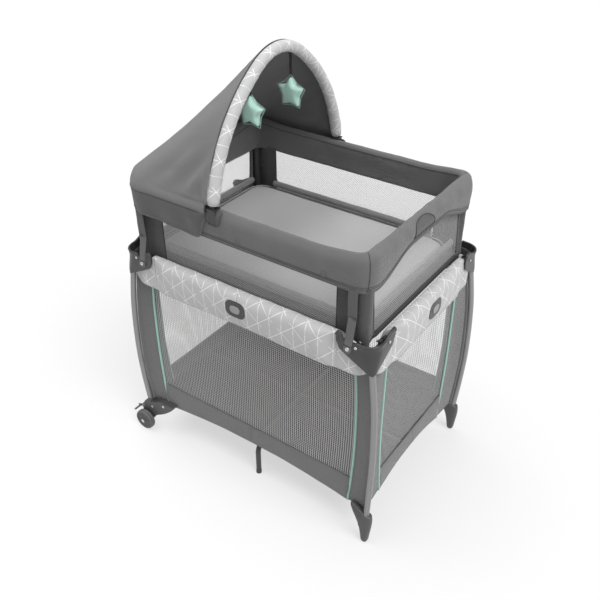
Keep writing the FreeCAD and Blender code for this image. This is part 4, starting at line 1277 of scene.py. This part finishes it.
def bow_sleeve():
    """The padded sleeve round the bow: slightly uneven, with a seam along its back."""
    path = [(BOW_X, *bow_line(0.004 + 0.992 * i / 80)) for i in range(81)]
    rings = []
    length = 0.0
    lengths = []
    for i, (point, _, side, rise) in enumerate(frames_along(path, (1, 0, 0))):
        share = i / 80
        if i:
            length += (Vector(path[i]) - Vector(path[i - 1])).length
        lengths.append(length)
        radius = 0.0185 + 0.0022 * abs(2 * share - 1) ** 3
        end = min(share, 1 - share)
        radius *= 0.86 + 0.14 * smooth_step(end, 0.0, 0.02)
        ring = []
        for k in range(28):
            angle = 2 * math.pi * k / 28
            crease = 0.0007 * math.sin(length * 150 + 2 * math.sin(angle)) * max(math.sin(angle + 1.2), 0)
            lump = 0.0011 * noise.noise(Vector((length * 22, math.cos(angle), math.sin(angle))))
            reach_out = radius + crease + lump
            ring.append(point + side * (reach_out * math.cos(angle)) + rise * (reach_out * math.sin(angle)))
        rings.append(ring)
    sleeve = loft("bow_padded_sleeve", rings, BOW_PRINT, lengths)
    place_at(sleeve, "canopy")
    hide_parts("bow_sleeve")
    seam = []
    for i in range(81):
        y, z = bow_line(0.004 + 0.992 * i / 80, 0.004)
        seam.append((BOW_X - 0.0195, y, z))
    trim("bow_seam_piping", seam, 0.0030, DARK_TRIM, "canopy")


CANOPY_OUT = 0.0125
CANOPY_CORNER = 0.080
CREASE_TOP = RIM_TOP - 0.014
# shares of the cloth's length: where the slope bends over the rim, and where the skirt begins
HOOD_SHOULDER = 0.90
HOOD_RIM = 0.80
HOOD_SKIRT = 0.092


def canopy_edge(share):
    """The hood over the rim, from the front side round the -X end to the back side.

    It gives the crease outside the rim, the outward direction there and how near the -X end it is.
    """
    start = BOW_X - 0.024
    straight_x = RIM_X - CANOPY_CORNER
    straight_y = RIM_Y - CANOPY_CORNER
    radius = CANOPY_CORNER + CANOPY_OUT
    run_x = start + straight_x
    arc = radius * math.pi / 2
    total = 2 * (run_x + arc + straight_y)
    half = abs(share - 0.5) * 2
    side = 1 if share > 0.5 else -1
    distance = (1 - half) * total / 2
    if distance < run_x:
        x, y, turn = start - distance, straight_y + radius, 0.0
    elif distance < run_x + arc:
        turn = (distance - run_x) / radius
        x = -straight_x - radius * math.sin(turn)
        y = straight_y + radius * math.cos(turn)
    else:
        turn = math.pi / 2
        x, y = -straight_x - radius, straight_y - (distance - run_x - arc)
    outward = Vector((-math.sin(turn), side * math.cos(turn), 0))
    near_end = smooth_step(distance, run_x - 0.10, run_x + arc)
    return Vector((x, side * y, CREASE_TOP - 0.006 * near_end)), outward, near_end


def hood_point(u, v):
    """The hood's cloth: v runs from the bow (0) to the crease (HOOD_RIM) and down the skirt (1)."""
    y, z = bow_line(0.006 + 0.988 * u, 0.0185)
    high = Vector((BOW_X - 0.014, y, z))
    crease, outward, near_end = canopy_edge(u)
    end = min(u, 1 - u)
    if v <= HOOD_RIM:
        shoulder = crease - outward * (0.007 + 0.010 * near_end)
        shoulder.z = RIM_TOP + 0.014 + 0.020 * near_end
        share = v / HOOD_RIM
        slope = min(share / HOOD_SHOULDER, 1.0)
        place = high.lerp(shoulder, slope)
        if share > HOOD_SHOULDER:
            bend = (share - HOOD_SHOULDER) / (1 - HOOD_SHOULDER)
            place = shoulder.lerp(crease, bend) + outward * (0.0035 * math.sin(math.pi * bend))
        swell = math.sin(math.pi * slope)
        centre = math.sin(math.pi * u) ** 1.3
        normal = Vector((-0.5, math.copysign(0.6, place.y) * (1 - centre * 0.8), 0.6)).normalized()
        # slack gathers in folds that run from the feet of the bow
        side_fold = math.exp(-(((end - 0.10) / 0.10) ** 2))
        lift = 0.0045 * side_fold * math.sin(slope * 4.0 + end * 74)
        lift += 0.0085 * noise.noise(Vector((u * 7, slope * 2.2, 3.0)))
        lift += 0.0022 * noise.noise(Vector((u * 26, slope * 6.0, 5.0)))
        lift += 0.010 * centre - 0.004
        return place + normal * (lift * swell)
    share = (v - HOOD_RIM) / (1 - HOOD_RIM)
    depth = HOOD_SKIRT * (0.14 + 0.86 * smooth_step(end, 0.0, 0.026))
    depth += 0.008 * math.exp(-(((end - 0.045) / 0.035) ** 2)) - 0.012 * smooth_step(end, 0.10, 0.3)
    # the skirt hangs nearly straight, a little in at first and loose at its edge
    loose = smooth_step(end, 0.02, 0.1)
    flare = -0.0060 * smooth_step(share, 0.0, 0.8) + 0.0028 * math.sin(u * 74) * share**1.6 * loose
    flare += 0.0060 * math.exp(-(((end - 0.035) / 0.02) ** 2)) * math.sin(math.pi * share)
    flare += 0.0040 * noise.noise(Vector((u * 16, share * 1.6, 9.0))) * share
    return crease + outward * flare + Vector((0, 0, -depth * share))


def canopy():
    """The hood: one continuous sheet from the bow to the rim, with a skirt sewn on at its crease."""

    def over(u, v):
        return hood_point(u, v * HOOD_RIM)

    def down(u, v):
        return hood_point(u, HOOD_RIM + (1 - HOOD_RIM) * v)

    hood = grid("canopy_hood", 168, 61, over, (1.28, 0.49), HOOD)
    # the skirt takes the darker copy of the hood's cloth: painted shade
    skirt = grid("canopy_skirt", 168, 16, down, (1.28, 0.09), SKIRT_PAINTED_SHADE)
    for piece in (hood, skirt):
        thicken(piece, 0.0016, -1.0)
        apply_modifiers(piece)
    place_at(skirt, "bassinet")
    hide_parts("canopy_cover")
    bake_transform(hood)
    edge = [hood_point(step / 140, 1.0) for step in range(141)]
    trim("canopy_skirt_edge", edge, 0.0020, HEM_EDGE, "bassinet", 6)
    crease = [hood_point(step / 140, HOOD_RIM) + Vector((0, 0, 0.0004)) for step in range(3, 138)]
    trim("canopy_crease_seam", crease, 0.0013, HEM_EDGE, "bassinet", 6)
    for row in ROWS:
        bow_tab(row)


def rim_loop(row):
    """A webbing loop at the -X end, under the hood's skirt."""
    sign = SIGNS[row]
    # how far out from the rim, and how high
    route = [(0.002, 1.078), (0.014, 1.070), (0.015, 1.052), (0.002, 1.036)]
    path = even([(-RIM_X - out, height) for out, height in route])

    def point(u, v):
        x, z = path(v)
        return (x, sign * (0.285 + 0.020 * (u - 0.5)), z)

    loop = grid(f"rim_loop_{row}", 4, 20, point, (0.02, 0.06), BLACK_STRAP)
    lined(loop, "bassinet", 0.0018, 0.0)


def bow_tab(row):
    """The stitched tab that buttons over the rim at a foot of the bow."""
    sign = SIGNS[row]

    def point(u, v, out=0.0):
        across = 2 * u - 1
        foot = 1.0925 + 0.020 * (1 - math.sqrt(max(1 - abs(across) ** 3, 0.0)))
        height = 1.1440 + (foot - 1.1440) * v
        y = RIM_Y + 0.0060 + out - 0.012 * (1 - smooth_step(v, 0.0, 0.35))
        return (BOW_X + 0.004 + 0.0285 * across, sign * y, height)

    tab = grid(f"bow_tab_{row}", 16, 12, point, (0.047, 0.045), DARK_CLOTH_AND_SHADE, flip=sign > 0)
    lined(tab, "bassinet", 0.0022, 1.0)
    edge = [point(step / 24, 1.0, 0.0015) for step in range(25)]
    trim(f"bow_tab_edge_{row}", edge, 0.0013, DARK_TRIM, "bassinet", 6)


STAR_LAYERS = (
    (-0.0115, 0.30),
    (-0.0110, 0.62),
    (-0.0080, 0.86),
    (0.0, 0.985),
    (0.0080, 0.86),
    (0.0110, 0.62),
    (0.0115, 0.30),
)


def star(name, node, body):
    """A stuffed star on a strap: rounded points, a seam round its edge, blown up by simulation."""
    low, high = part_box(node)
    centre_x = (low[0] + high[0]) / 2
    centre_y = (low[1] + high[1]) / 2
    radius = 0.0565
    centre_z = low[2] + radius * math.cos(math.pi / 5)
    count = 80
    strap_wide = 0.011
    strap_foot = centre_z + 0.048
    top = high[2]

    def outline(angle):
        turn = abs((angle - math.pi / 2 + math.pi / 5) % (2 * math.pi / 5) - math.pi / 5)
        # the side of a star between a tip and a waist
        tip = Vector((1.0, 0.0))
        waist = Vector((math.cos(math.pi / 5), math.sin(math.pi / 5))) * 0.66
        run = waist - tip
        aim = Vector((math.cos(turn), math.sin(turn)))
        reach_out = (tip.x * run.y - tip.y * run.x) / (aim.x * run.y - aim.y * run.x)
        return radius * (0.10 + 0.90 * reach_out)

    def around(i, depth, size, grow=0.0):
        angle = 2 * math.pi * i / count
        reach_out = outline(angle) * size + grow
        return (
            centre_x + reach_out * math.cos(angle),
            centre_y + depth,
            centre_z + reach_out * math.sin(angle),
        )

    rings = []
    for depth, size in STAR_LAYERS:
        rings.append([around(i, depth, size) for i in range(count)])
    piece = loft(name, rings, MINT)
    puff(piece, 5.0, 0.006, 0.0035)
    place_at(piece, body)
    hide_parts(node)
    seam = [around(i, 0.0, 1.01, 0.001) for i in range(count + 1)]
    trim(f"{name}_seam", seam, 0.0012, MINT_PIPING, body, 6)

    def strap(u, v):
        across = (u - 0.5) * strap_wide
        sway = 0.0006 * math.sin(v * 9)
        return (centre_x + across, centre_y + sway, strap_foot + (top - strap_foot) * v)

    band = grid(f"{name}_strap", 3, 10, strap, (strap_wide, 0.1), BLACK_STRAP)
    lined(band, body, 0.0018, 0.0)

    def loop(u, v):
        angle = math.pi * (v - 0.5)
        across = (u - 0.5) * strap_wide
        height = top + 0.001 + 0.008 * math.cos(angle * 0.9)
        return (centre_x + across, centre_y + 0.003 * math.sin(angle), height)

    tab = grid(f"{name}_tab", 3, 8, loop, (strap_wide, 0.02), BLACK_STRAP)
    lined(tab, "canopy", 0.0015, 0.0)


# ---------------------------------------------------------------- hard parts


def leg_skin(row, column):
    """The leg's ribbed extrusion: a round tube with two raised ribs and a groove between them."""
    sx, sy = SIGNS[column], SIGNS[row]
    path = [(sx * x, sy * y, z) for x, y, z in LEG_CURVE]
    section = []
    for k in range(48):
        angle = 2 * math.pi * k / 48
        out_angle = math.atan2(math.sin(angle), math.cos(angle))
        groove = 0.0022 * math.exp(-((out_angle / 0.16) ** 2))
        rib = 0.0008 * sum(math.exp(-(((out_angle - place) / 0.2) ** 2)) for place in (0.42, -0.42))
        radius = 0.0105 - groove + rib
        section.append((radius, angle))
    outward = Vector((sx, sy, 0)).normalized()
    rings = []
    for point, ahead, _, _ in frames_along(path):
        face = (outward - ahead * outward.dot(ahead)).normalized()
        side = ahead.cross(face)
        rings.append([point + face * (r * math.cos(a)) + side * (r * math.sin(a)) for r, a in section])
    leg = loft(f"leg_skin_{row}_{column}", rings, LEG_COAT)
    place_at(leg, f"leg_{row}_{column}")
    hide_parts(f"leg_tube_{row}_{column}")


# height and radius of the hub's cup for the bassinet post
CUP_PROFILE = [
    (0.8000, 0.0215),
    (0.8135, 0.0225),
    (0.8155, 0.0215),
    (0.8155, 0.0190),
    (0.8120, 0.0183),
    (0.7920, 0.0183),
]
# height and radius of a screw's head with its socket
SCREW_HEAD = [
    (-0.0030, 0.0050),
    (0.0002, 0.0052),
    (0.0014, 0.0044),
    (0.0018, 0.0030),
    (0.0006, 0.0022),
    (0.0006, 0.0001),
]


def hub_skin(row, column):
    """The moulded shield of a corner hub: a wrapped wall with two raised ears and a rolled rim."""
    sx, sy = SIGNS[column], SIGNS[row]
    far_x = HUB_HIGH[0] - 0.001
    far_y = HUB_HIGH[1] - 0.001
    ear_x = HUB_LOW[0] - 0.002
    ear_y = HUB_LOW[1] - 0.002
    wide_corner = 0.048
    tip_corner = 0.022
    span_x = far_x - ear_x
    span_y = far_y - ear_y
    total = span_x + span_y - (2 - math.pi / 2) * wide_corner

    def plan(u, out, rise):
        corner = tip_corner + (wide_corner - tip_corner) * smooth_step(rise, 0.0, 1.0)
        first = span_x - corner
        last = span_y - corner
        arc = corner * math.pi / 2
        distance = u * (first + arc + last)
        if distance < first:
            return ear_x + distance, far_y + out
        if distance < first + arc:
            angle = math.pi / 2 - (distance - first) / corner
            x = far_x - corner + (corner + out) * math.cos(angle)
            return x, far_y - corner + (corner + out) * math.sin(angle)
        return far_x + out, far_y - corner - (distance - first - arc)

    def edges(u):
        """The heights of the rim and of the lower edge; the rim dips where the latch tab hangs over it."""
        middle = (span_x - wide_corner + wide_corner * math.pi / 4) / total
        away = (u - middle) / (middle if u < middle else 1 - middle)
        away = abs(away)
        rim = 0.868 + 0.019 * smooth_step(away, 0.35, 0.95) - 0.002 * (1 - away)
        rim -= 0.012 * smooth_step(away, 0.94, 1.0)
        x = ear_x + u * total
        dip = smooth_step(x, 0.398, 0.407) * (1 - smooth_step(x, 0.443, 0.452))
        rim += (0.848 - rim) * dip
        foot = 0.7625 + 0.070 * away**1.05
        foot += 0.018 * smooth_step(away, 0.90, 1.0)
        return rim, foot, away

    def point(u, v):
        rim, foot, _ = edges(u)
        height = foot + (rim - foot) * v
        # the wall closes round the leg at its tip and rolls out along the rim
        roll = 0.0022 * smooth_step(v, 0.80, 0.97)
        belly = 0.0012 * math.sin(math.pi * v)
        rise = min(max((height - 0.765) / 0.085, 0.0), 1.0)
        x, y = plan(u, roll + belly - 0.0015 * (1 - rise), rise)
        return (sx * x, sy * y, height)

    wall = grid(f"hub_wall_{row}_{column}", 48, 18, point, (total, 0.1), PLASTIC, flip=sx * sy > 0)
    thicken(wall, 0.0065)
    bevel(wall, 0.0018, 3, 50)
    apply_modifiers(wall)
    rim = []
    for step in range(61):
        x, y, z = point(step / 60, 1.0)
        inset = Vector((sx * 0.003, 0, 0)) if step > 30 else Vector((0, sy * 0.003, 0))
        rim.append(Vector((x, y, z)) - inset)

    def thickness(share):
        return 0.8 + 0.35 * abs(2 * share - 1)

    lip = sweep(f"hub_lip_{row}_{column}", rim, circle_section(0.0046, 12), PLASTIC, scale=thickness)
    cup = []
    post = (sx * POST_X, sy * POST_Y)
    for height, radius in CUP_PROFILE:
        cup.append(ring_about((*post, height), (0, 0, 1), radius, 36))
    ring = loft(f"hub_cup_{row}_{column}", cup, PLASTIC, capped=False)

    def shelf(u, v):
        away = edges(u)[2]
        x, y = plan(u, -0.006, 1.0)
        inner = Vector((sx * x, sy * y, 0.842 + 0.014 * away))
        target = Vector((post[0], post[1], 0.806))
        side = inner - target
        side.z = 0
        near = target + side.normalized() * 0.0212
        return tuple(inner.lerp(near, v))

    deck = grid(f"hub_deck_{row}_{column}", 40, 5, shelf, (total, 0.05), PLASTIC, flip=sx * sy > 0)
    thicken(deck, 0.0025)
    skin = join(f"hub_skin_{row}_{column}", [wall, lip, ring, deck])
    place_at(skin, f"leg_{row}_{column}")
    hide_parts(f"corner_hub_{row}_{column}")
    for name, place, normal in (
        ("long", (0.4525, far_y + 0.0032, 0.853), (0, 1, 0)),
        ("short", (far_x + 0.0032, 0.286, 0.853), (1, 0, 0)),
    ):
        centre = (sx * place[0], sy * place[1], place[2])
        axis = (sx * normal[0], sy * normal[1], 0)
        head = turned_piece(f"hub_screw_{name}_{row}_{column}", centre, axis, SCREW_HEAD, STEEL, 20)
        place_at(head, f"leg_{row}_{column}")


def foot_skin(row):
    """The moulded boot at the +X end: a smooth tusk with a wing that sweeps in under the hem."""
    sy = SIGNS[row]
    # height, the two ends in X, the middle in Y and the half width in Y
    stations = [
        (0.1600, 0.4530, 0.4590, 0.3440, 0.0040),
        (0.1560, 0.4515, 0.4680, 0.3440, 0.0085),
        (0.1480, 0.4520, 0.4860, 0.3442, 0.0115),
        (0.1390, 0.4560, 0.5060, 0.3446, 0.0140),
        (0.1310, 0.4600, 0.5330, 0.3452, 0.0165),
        (0.1250, 0.4640, 0.5365, 0.3456, 0.0175),
        (0.1050, 0.4760, 0.5385, 0.3464, 0.0180),
        (0.0800, 0.4880, 0.5375, 0.3472, 0.0172),
        (0.0550, 0.4955, 0.5350, 0.3480, 0.0162),
        (0.0300, 0.5005, 0.5320, 0.3486, 0.0150),
        (0.0120, 0.5035, 0.5300, 0.3490, 0.0138),
        (0.0035, 0.5065, 0.5270, 0.3490, 0.0115),
        (0.0003, 0.5110, 0.5225, 0.3490, 0.0075),
    ]
    curve = even([(z, x0, x1, y, w) for z, x0, x1, y, w in stations], 200)
    rings = []
    for step in range(61):
        height, start, stop, middle, wide = curve(step / 60)
        ring = []
        for k in range(44):
            angle = 2 * math.pi * k / 44
            c = math.copysign(abs(math.cos(angle)) ** 0.75, math.cos(angle))
            s = math.copysign(abs(math.sin(angle)) ** 0.75, math.sin(angle))
            ring.append(((start + stop) / 2 + (stop - start) / 2 * c, sy * (middle + wide * s), height))
        rings.append(ring)
    boot = loft(f"boot_skin_{row}", rings, FOOT_PLASTIC)
    if sy < 0:
        boot.data.flip_normals()
    place_at(boot, f"leg_{row}_right")
    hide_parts(f"fixed_foot_{row}")


def wheel_skin(row):
    """A wheel: a rounded tread, a dished face with ribs and a hub cap."""
    sy = SIGNS[row]
    low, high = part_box(f"wheel_{row}")
    centre = [(a + b) / 2 for a, b in zip(low, high)]
    radius = (high[2] - low[2]) / 2
    half = (high[1] - low[1]) / 2
    profile = [
        (-half + 0.003, 0.004),
        (-half + 0.002, 0.012),
        (-half + 0.004, 0.018),
        (-half + 0.004, radius - 0.011),
        (-half + 0.001, radius - 0.008),
        (-half + 0.002, radius - 0.003),
        (-half + 0.006, radius - 0.0004),
        (-0.002, radius),
        (-0.0012, radius - 0.0014),
        (0.0012, radius - 0.0014),
        (0.002, radius),
        (half - 0.006, radius - 0.0004),
        (half - 0.002, radius - 0.003),
        (half - 0.001, radius - 0.008),
        (half - 0.004, radius - 0.011),
        (half - 0.004, 0.018),
        (half - 0.002, 0.012),
        (half - 0.003, 0.004),
    ]
    disc = turned_piece(f"wheel_disc_{row}", centre, (0, sy, 0), profile, WHEEL_PLASTIC, 56)
    ribs = [disc]
    for step in range(8):
        angle = math.pi * step / 4 + 0.2
        for face in (-1, 1):
            middle = Vector(centre) + Vector((0, face * (half - 0.0035), 0))
            out = Vector((math.cos(angle), 0, math.sin(angle)))
            route = [middle + out * radius for radius in (0.012, 0.023, 0.034)]
            ribs.append(cord_tube(f"rib_{row}_{step}_{face}", route, 0.0020, WHEEL_PLASTIC, 8))
    wheel = join(f"wheel_skin_{row}", ribs)
    place_at(wheel, f"wheel_{row}")
    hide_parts(f"wheel_{row}")


# the latch tab's section, in shares of its half width and half thickness
TAB_SECTION = [
    (-1.0, -1.0),
    (-0.9, -1.15),
    (0.9, -1.15),
    (1.0, -1.0),
    (1.0, 0.7),
    (0.9, 1.0),
    (0.55, 1.0),
    (-0.55, 1.0),
    (-0.9, 1.0),
    (-1.0, 0.7),
]


def tab_skin(row, column):
    """The ribbed latch tab at the end of a strap."""
    sx, sy = SIGNS[column], SIGNS[row]
    node = f"latch_tab_{row}_{column}"
    top = Vector((sx * TAB_PIVOT[0], sy * TAB_PIVOT[1], TAB_PIVOT[2]))
    foot = top + Vector((0, sy * 0.0254, -0.1152))
    down = (foot - top).normalized()
    across = Vector((1, 0, 0))
    out = Vector((0, sy, 0)) - down * down.dot(Vector((0, sy, 0)))
    out.normalize()
    length = (foot - top).length

    def half_width(share):
        if share > 0.87:
            return 0.0138 * math.sqrt(max(1 - ((share - 0.87) / 0.13) ** 2, 0.0)) + 0.0004
        return 0.0138

    rings = []
    count = 40
    for step in range(count + 1):
        share = step / count
        wide = half_width(share)
        ribbed = smooth_step(share, 0.06, 0.1) * (1 - smooth_step(share, 0.66, 0.7))
        rib = 0.0007 * (1 if step % 2 else -1) * ribbed
        centre = top + down * (length * share)
        thick = 0.0019
        ring = []
        for a, b in TAB_SECTION:
            lift = rib if b >= 1.0 and abs(a) <= 0.56 else 0.0
            ring.append(centre + across * (a * wide) + out * (b * thick + lift))
        rings.append(ring)
    tab = loft(f"tab_skin_{row}_{column}", rings, MID_PLASTIC)
    rivet = turned_piece(
        f"tab_rivet_{row}_{column}",
        tuple(top + down * (length - 0.014) + out * 0.0015),
        tuple(out),
        [(0.0, 0.0066), (0.0012, 0.0068), (0.0026, 0.0056), (0.0032, 0.0030), (0.0033, 0.0002)],
        STEEL,
        24,
    )
    place_at(tab, node)
    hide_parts(node)
    place_at(rivet, node)


def dress_frame():
    """Materials and eased edges for the CAD parts that stay visible."""
    finishes = {
        "half_rail": TUBE_COAT,
        "floor_tube": TUBE_COAT,
        "support_arm": TUBE_COAT,
        "canopy_bow": TUBE_COAT,
        "bassinet_top": TUBE_COAT,
        "bassinet_lower": TUBE_COAT,
        "corner_pins": STEEL,
        "latch_housing": PLASTIC,
        "latch_button": BUTTON,
        "brake_lever": MID_PLASTIC,
        "floor_hub": PLASTIC,
        "canopy_clips": PLASTIC,
        "wheel_bracket": FOOT_PLASTIC,
        "fixed_foot": FOOT_PLASTIC,
        "corner_hub": PLASTIC,
        "fold_strap": MID_PLASTIC,
        "leg_tube": LEG_COAT,
    }
    rounding = {
        "latch_housing": 0.0025,
        "wheel_bracket": 0.003,
        "fixed_foot": 0.003,
        "canopy_clips": 0.0012,
        "floor_hub": 0.0015,
        "brake_lever": 0.0008,
    }
    for name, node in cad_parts.items():
        for stem, material in finishes.items():
            if name.startswith(stem):
                node.data.materials.clear()
                node.data.materials.append(material)
        for stem, width in rounding.items():
            if name.startswith(stem) and not node.hide_render:
                bevel(node, width, 3, 30)
    for row in ROWS:
        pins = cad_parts[f"corner_pins_{row}_right"]
        pins.data.materials.clear()
        pins.data.materials.append(STEEL)
        pins.data.materials.append(FOOT_PLASTIC)
        for face in pins.data.polygons:
            face.material_index = 1 if face.center.z < 0.3 else 0


# ---------------------------------------------------------------- stage


def stage():
    """A pale floor, soft studio light and the camera."""
    size = 16.0
    mesh = bpy.data.meshes.new("floor")
    corners = [(-size, -size, 0), (size, -size, 0), (size, size, 0), (-size, size, 0)]
    mesh.from_pydata(corners, [], [(0, 1, 2, 3)])
    floor = bpy.data.objects.new("floor", mesh)
    bpy.context.scene.collection.objects.link(floor)
    pale = Nodes("pale_floor")
    pale.finish(colour=grey(0.24), rough=0.9, spec=0.05, glow=grey(1.0), glow_strength=0.60)
    floor.data.materials.append(pale.material)
    world = bpy.data.worlds.new("studio")
    world.use_nodes = True
    world.node_tree.nodes["Background"].inputs["Color"].default_value = (1, 1, 1, 1)
    world.node_tree.nodes["Background"].inputs["Strength"].default_value = 0.36
    bpy.context.scene.world = world
    suns = (
        ("key", (0.62, -0.14, 0.80), 2.6, 36),
        ("top", (-0.30, -0.05, 1.0), 2.3, 48),
        ("fill", (0.75, -0.60, 0.30), 0.5, 60),
    )
    for name, toward, strength, spread in suns:
        light = bpy.data.lights.new(name, "SUN")
        light.energy = strength
        light.angle = math.radians(spread)
        lamp = bpy.data.objects.new(name, light)
        lamp.rotation_euler = (-Vector(toward)).to_track_quat("-Z", "Y").to_euler()
        bpy.context.scene.collection.objects.link(lamp)
    lens = bpy.data.cameras.new("camera")
    lens.lens = 44.74
    lens.sensor_width = 36.0
    camera = bpy.data.objects.new("camera", lens)
    camera.location = (1.3151, -1.8891, 2.2133)
    camera.rotation_euler = (math.radians(90 - 34.34), 0, math.radians(35.02))
    bpy.context.scene.collection.objects.link(camera)
    bpy.context.scene.camera = camera
    bpy.context.scene.view_settings.view_transform = "Standard"


# ---------------------------------------------------------------- assembly


def make_yard():
    all_bands()
    for side, half in HALVES:
        row, column = (side, half) if side in ROWS else (half, side)
        wall_half(side, half, f"leg_{row}_{column}")
    for row, column in CORNERS:
        corner_panel(row, column)
        gusset(row, column)
    yard_floor()


def make_bassinet():
    rim_band()
    grip_pocket()
    bed_walls()
    for row, column in CORNERS:
        bed_corner(row, column)
        post_sleeve(row, column)
    mattress()
    for sign, row in ((-1, "front"), (1, "back")):
        for place, x in (("middle", 0.005), ("right", 0.325)):
            snap(f"snap_{row}_{place}", x, sign * (RIM_Y + 0.0012), RIM_FOOT + 0.026, 0, sign)


def make_canopy():
    bow_sleeve()
    canopy()
    for row in ROWS:
        rim_loop(row)
    star("star_back", "star_toy_back", "star_back")
    star("star_front", "star_toy_front", "star_front")


def make_hard_parts():
    for row, column in CORNERS:
        leg_skin(row, column)
        hub_skin(row, column)
        tab_skin(row, column)
    for row in ROWS:
        foot_skin(row)
        wheel_skin(row)
    dress_frame()


stage()
make_yard()
make_bassinet()
make_canopy()
make_hard_parts()

bpy.context.view_layer.update()
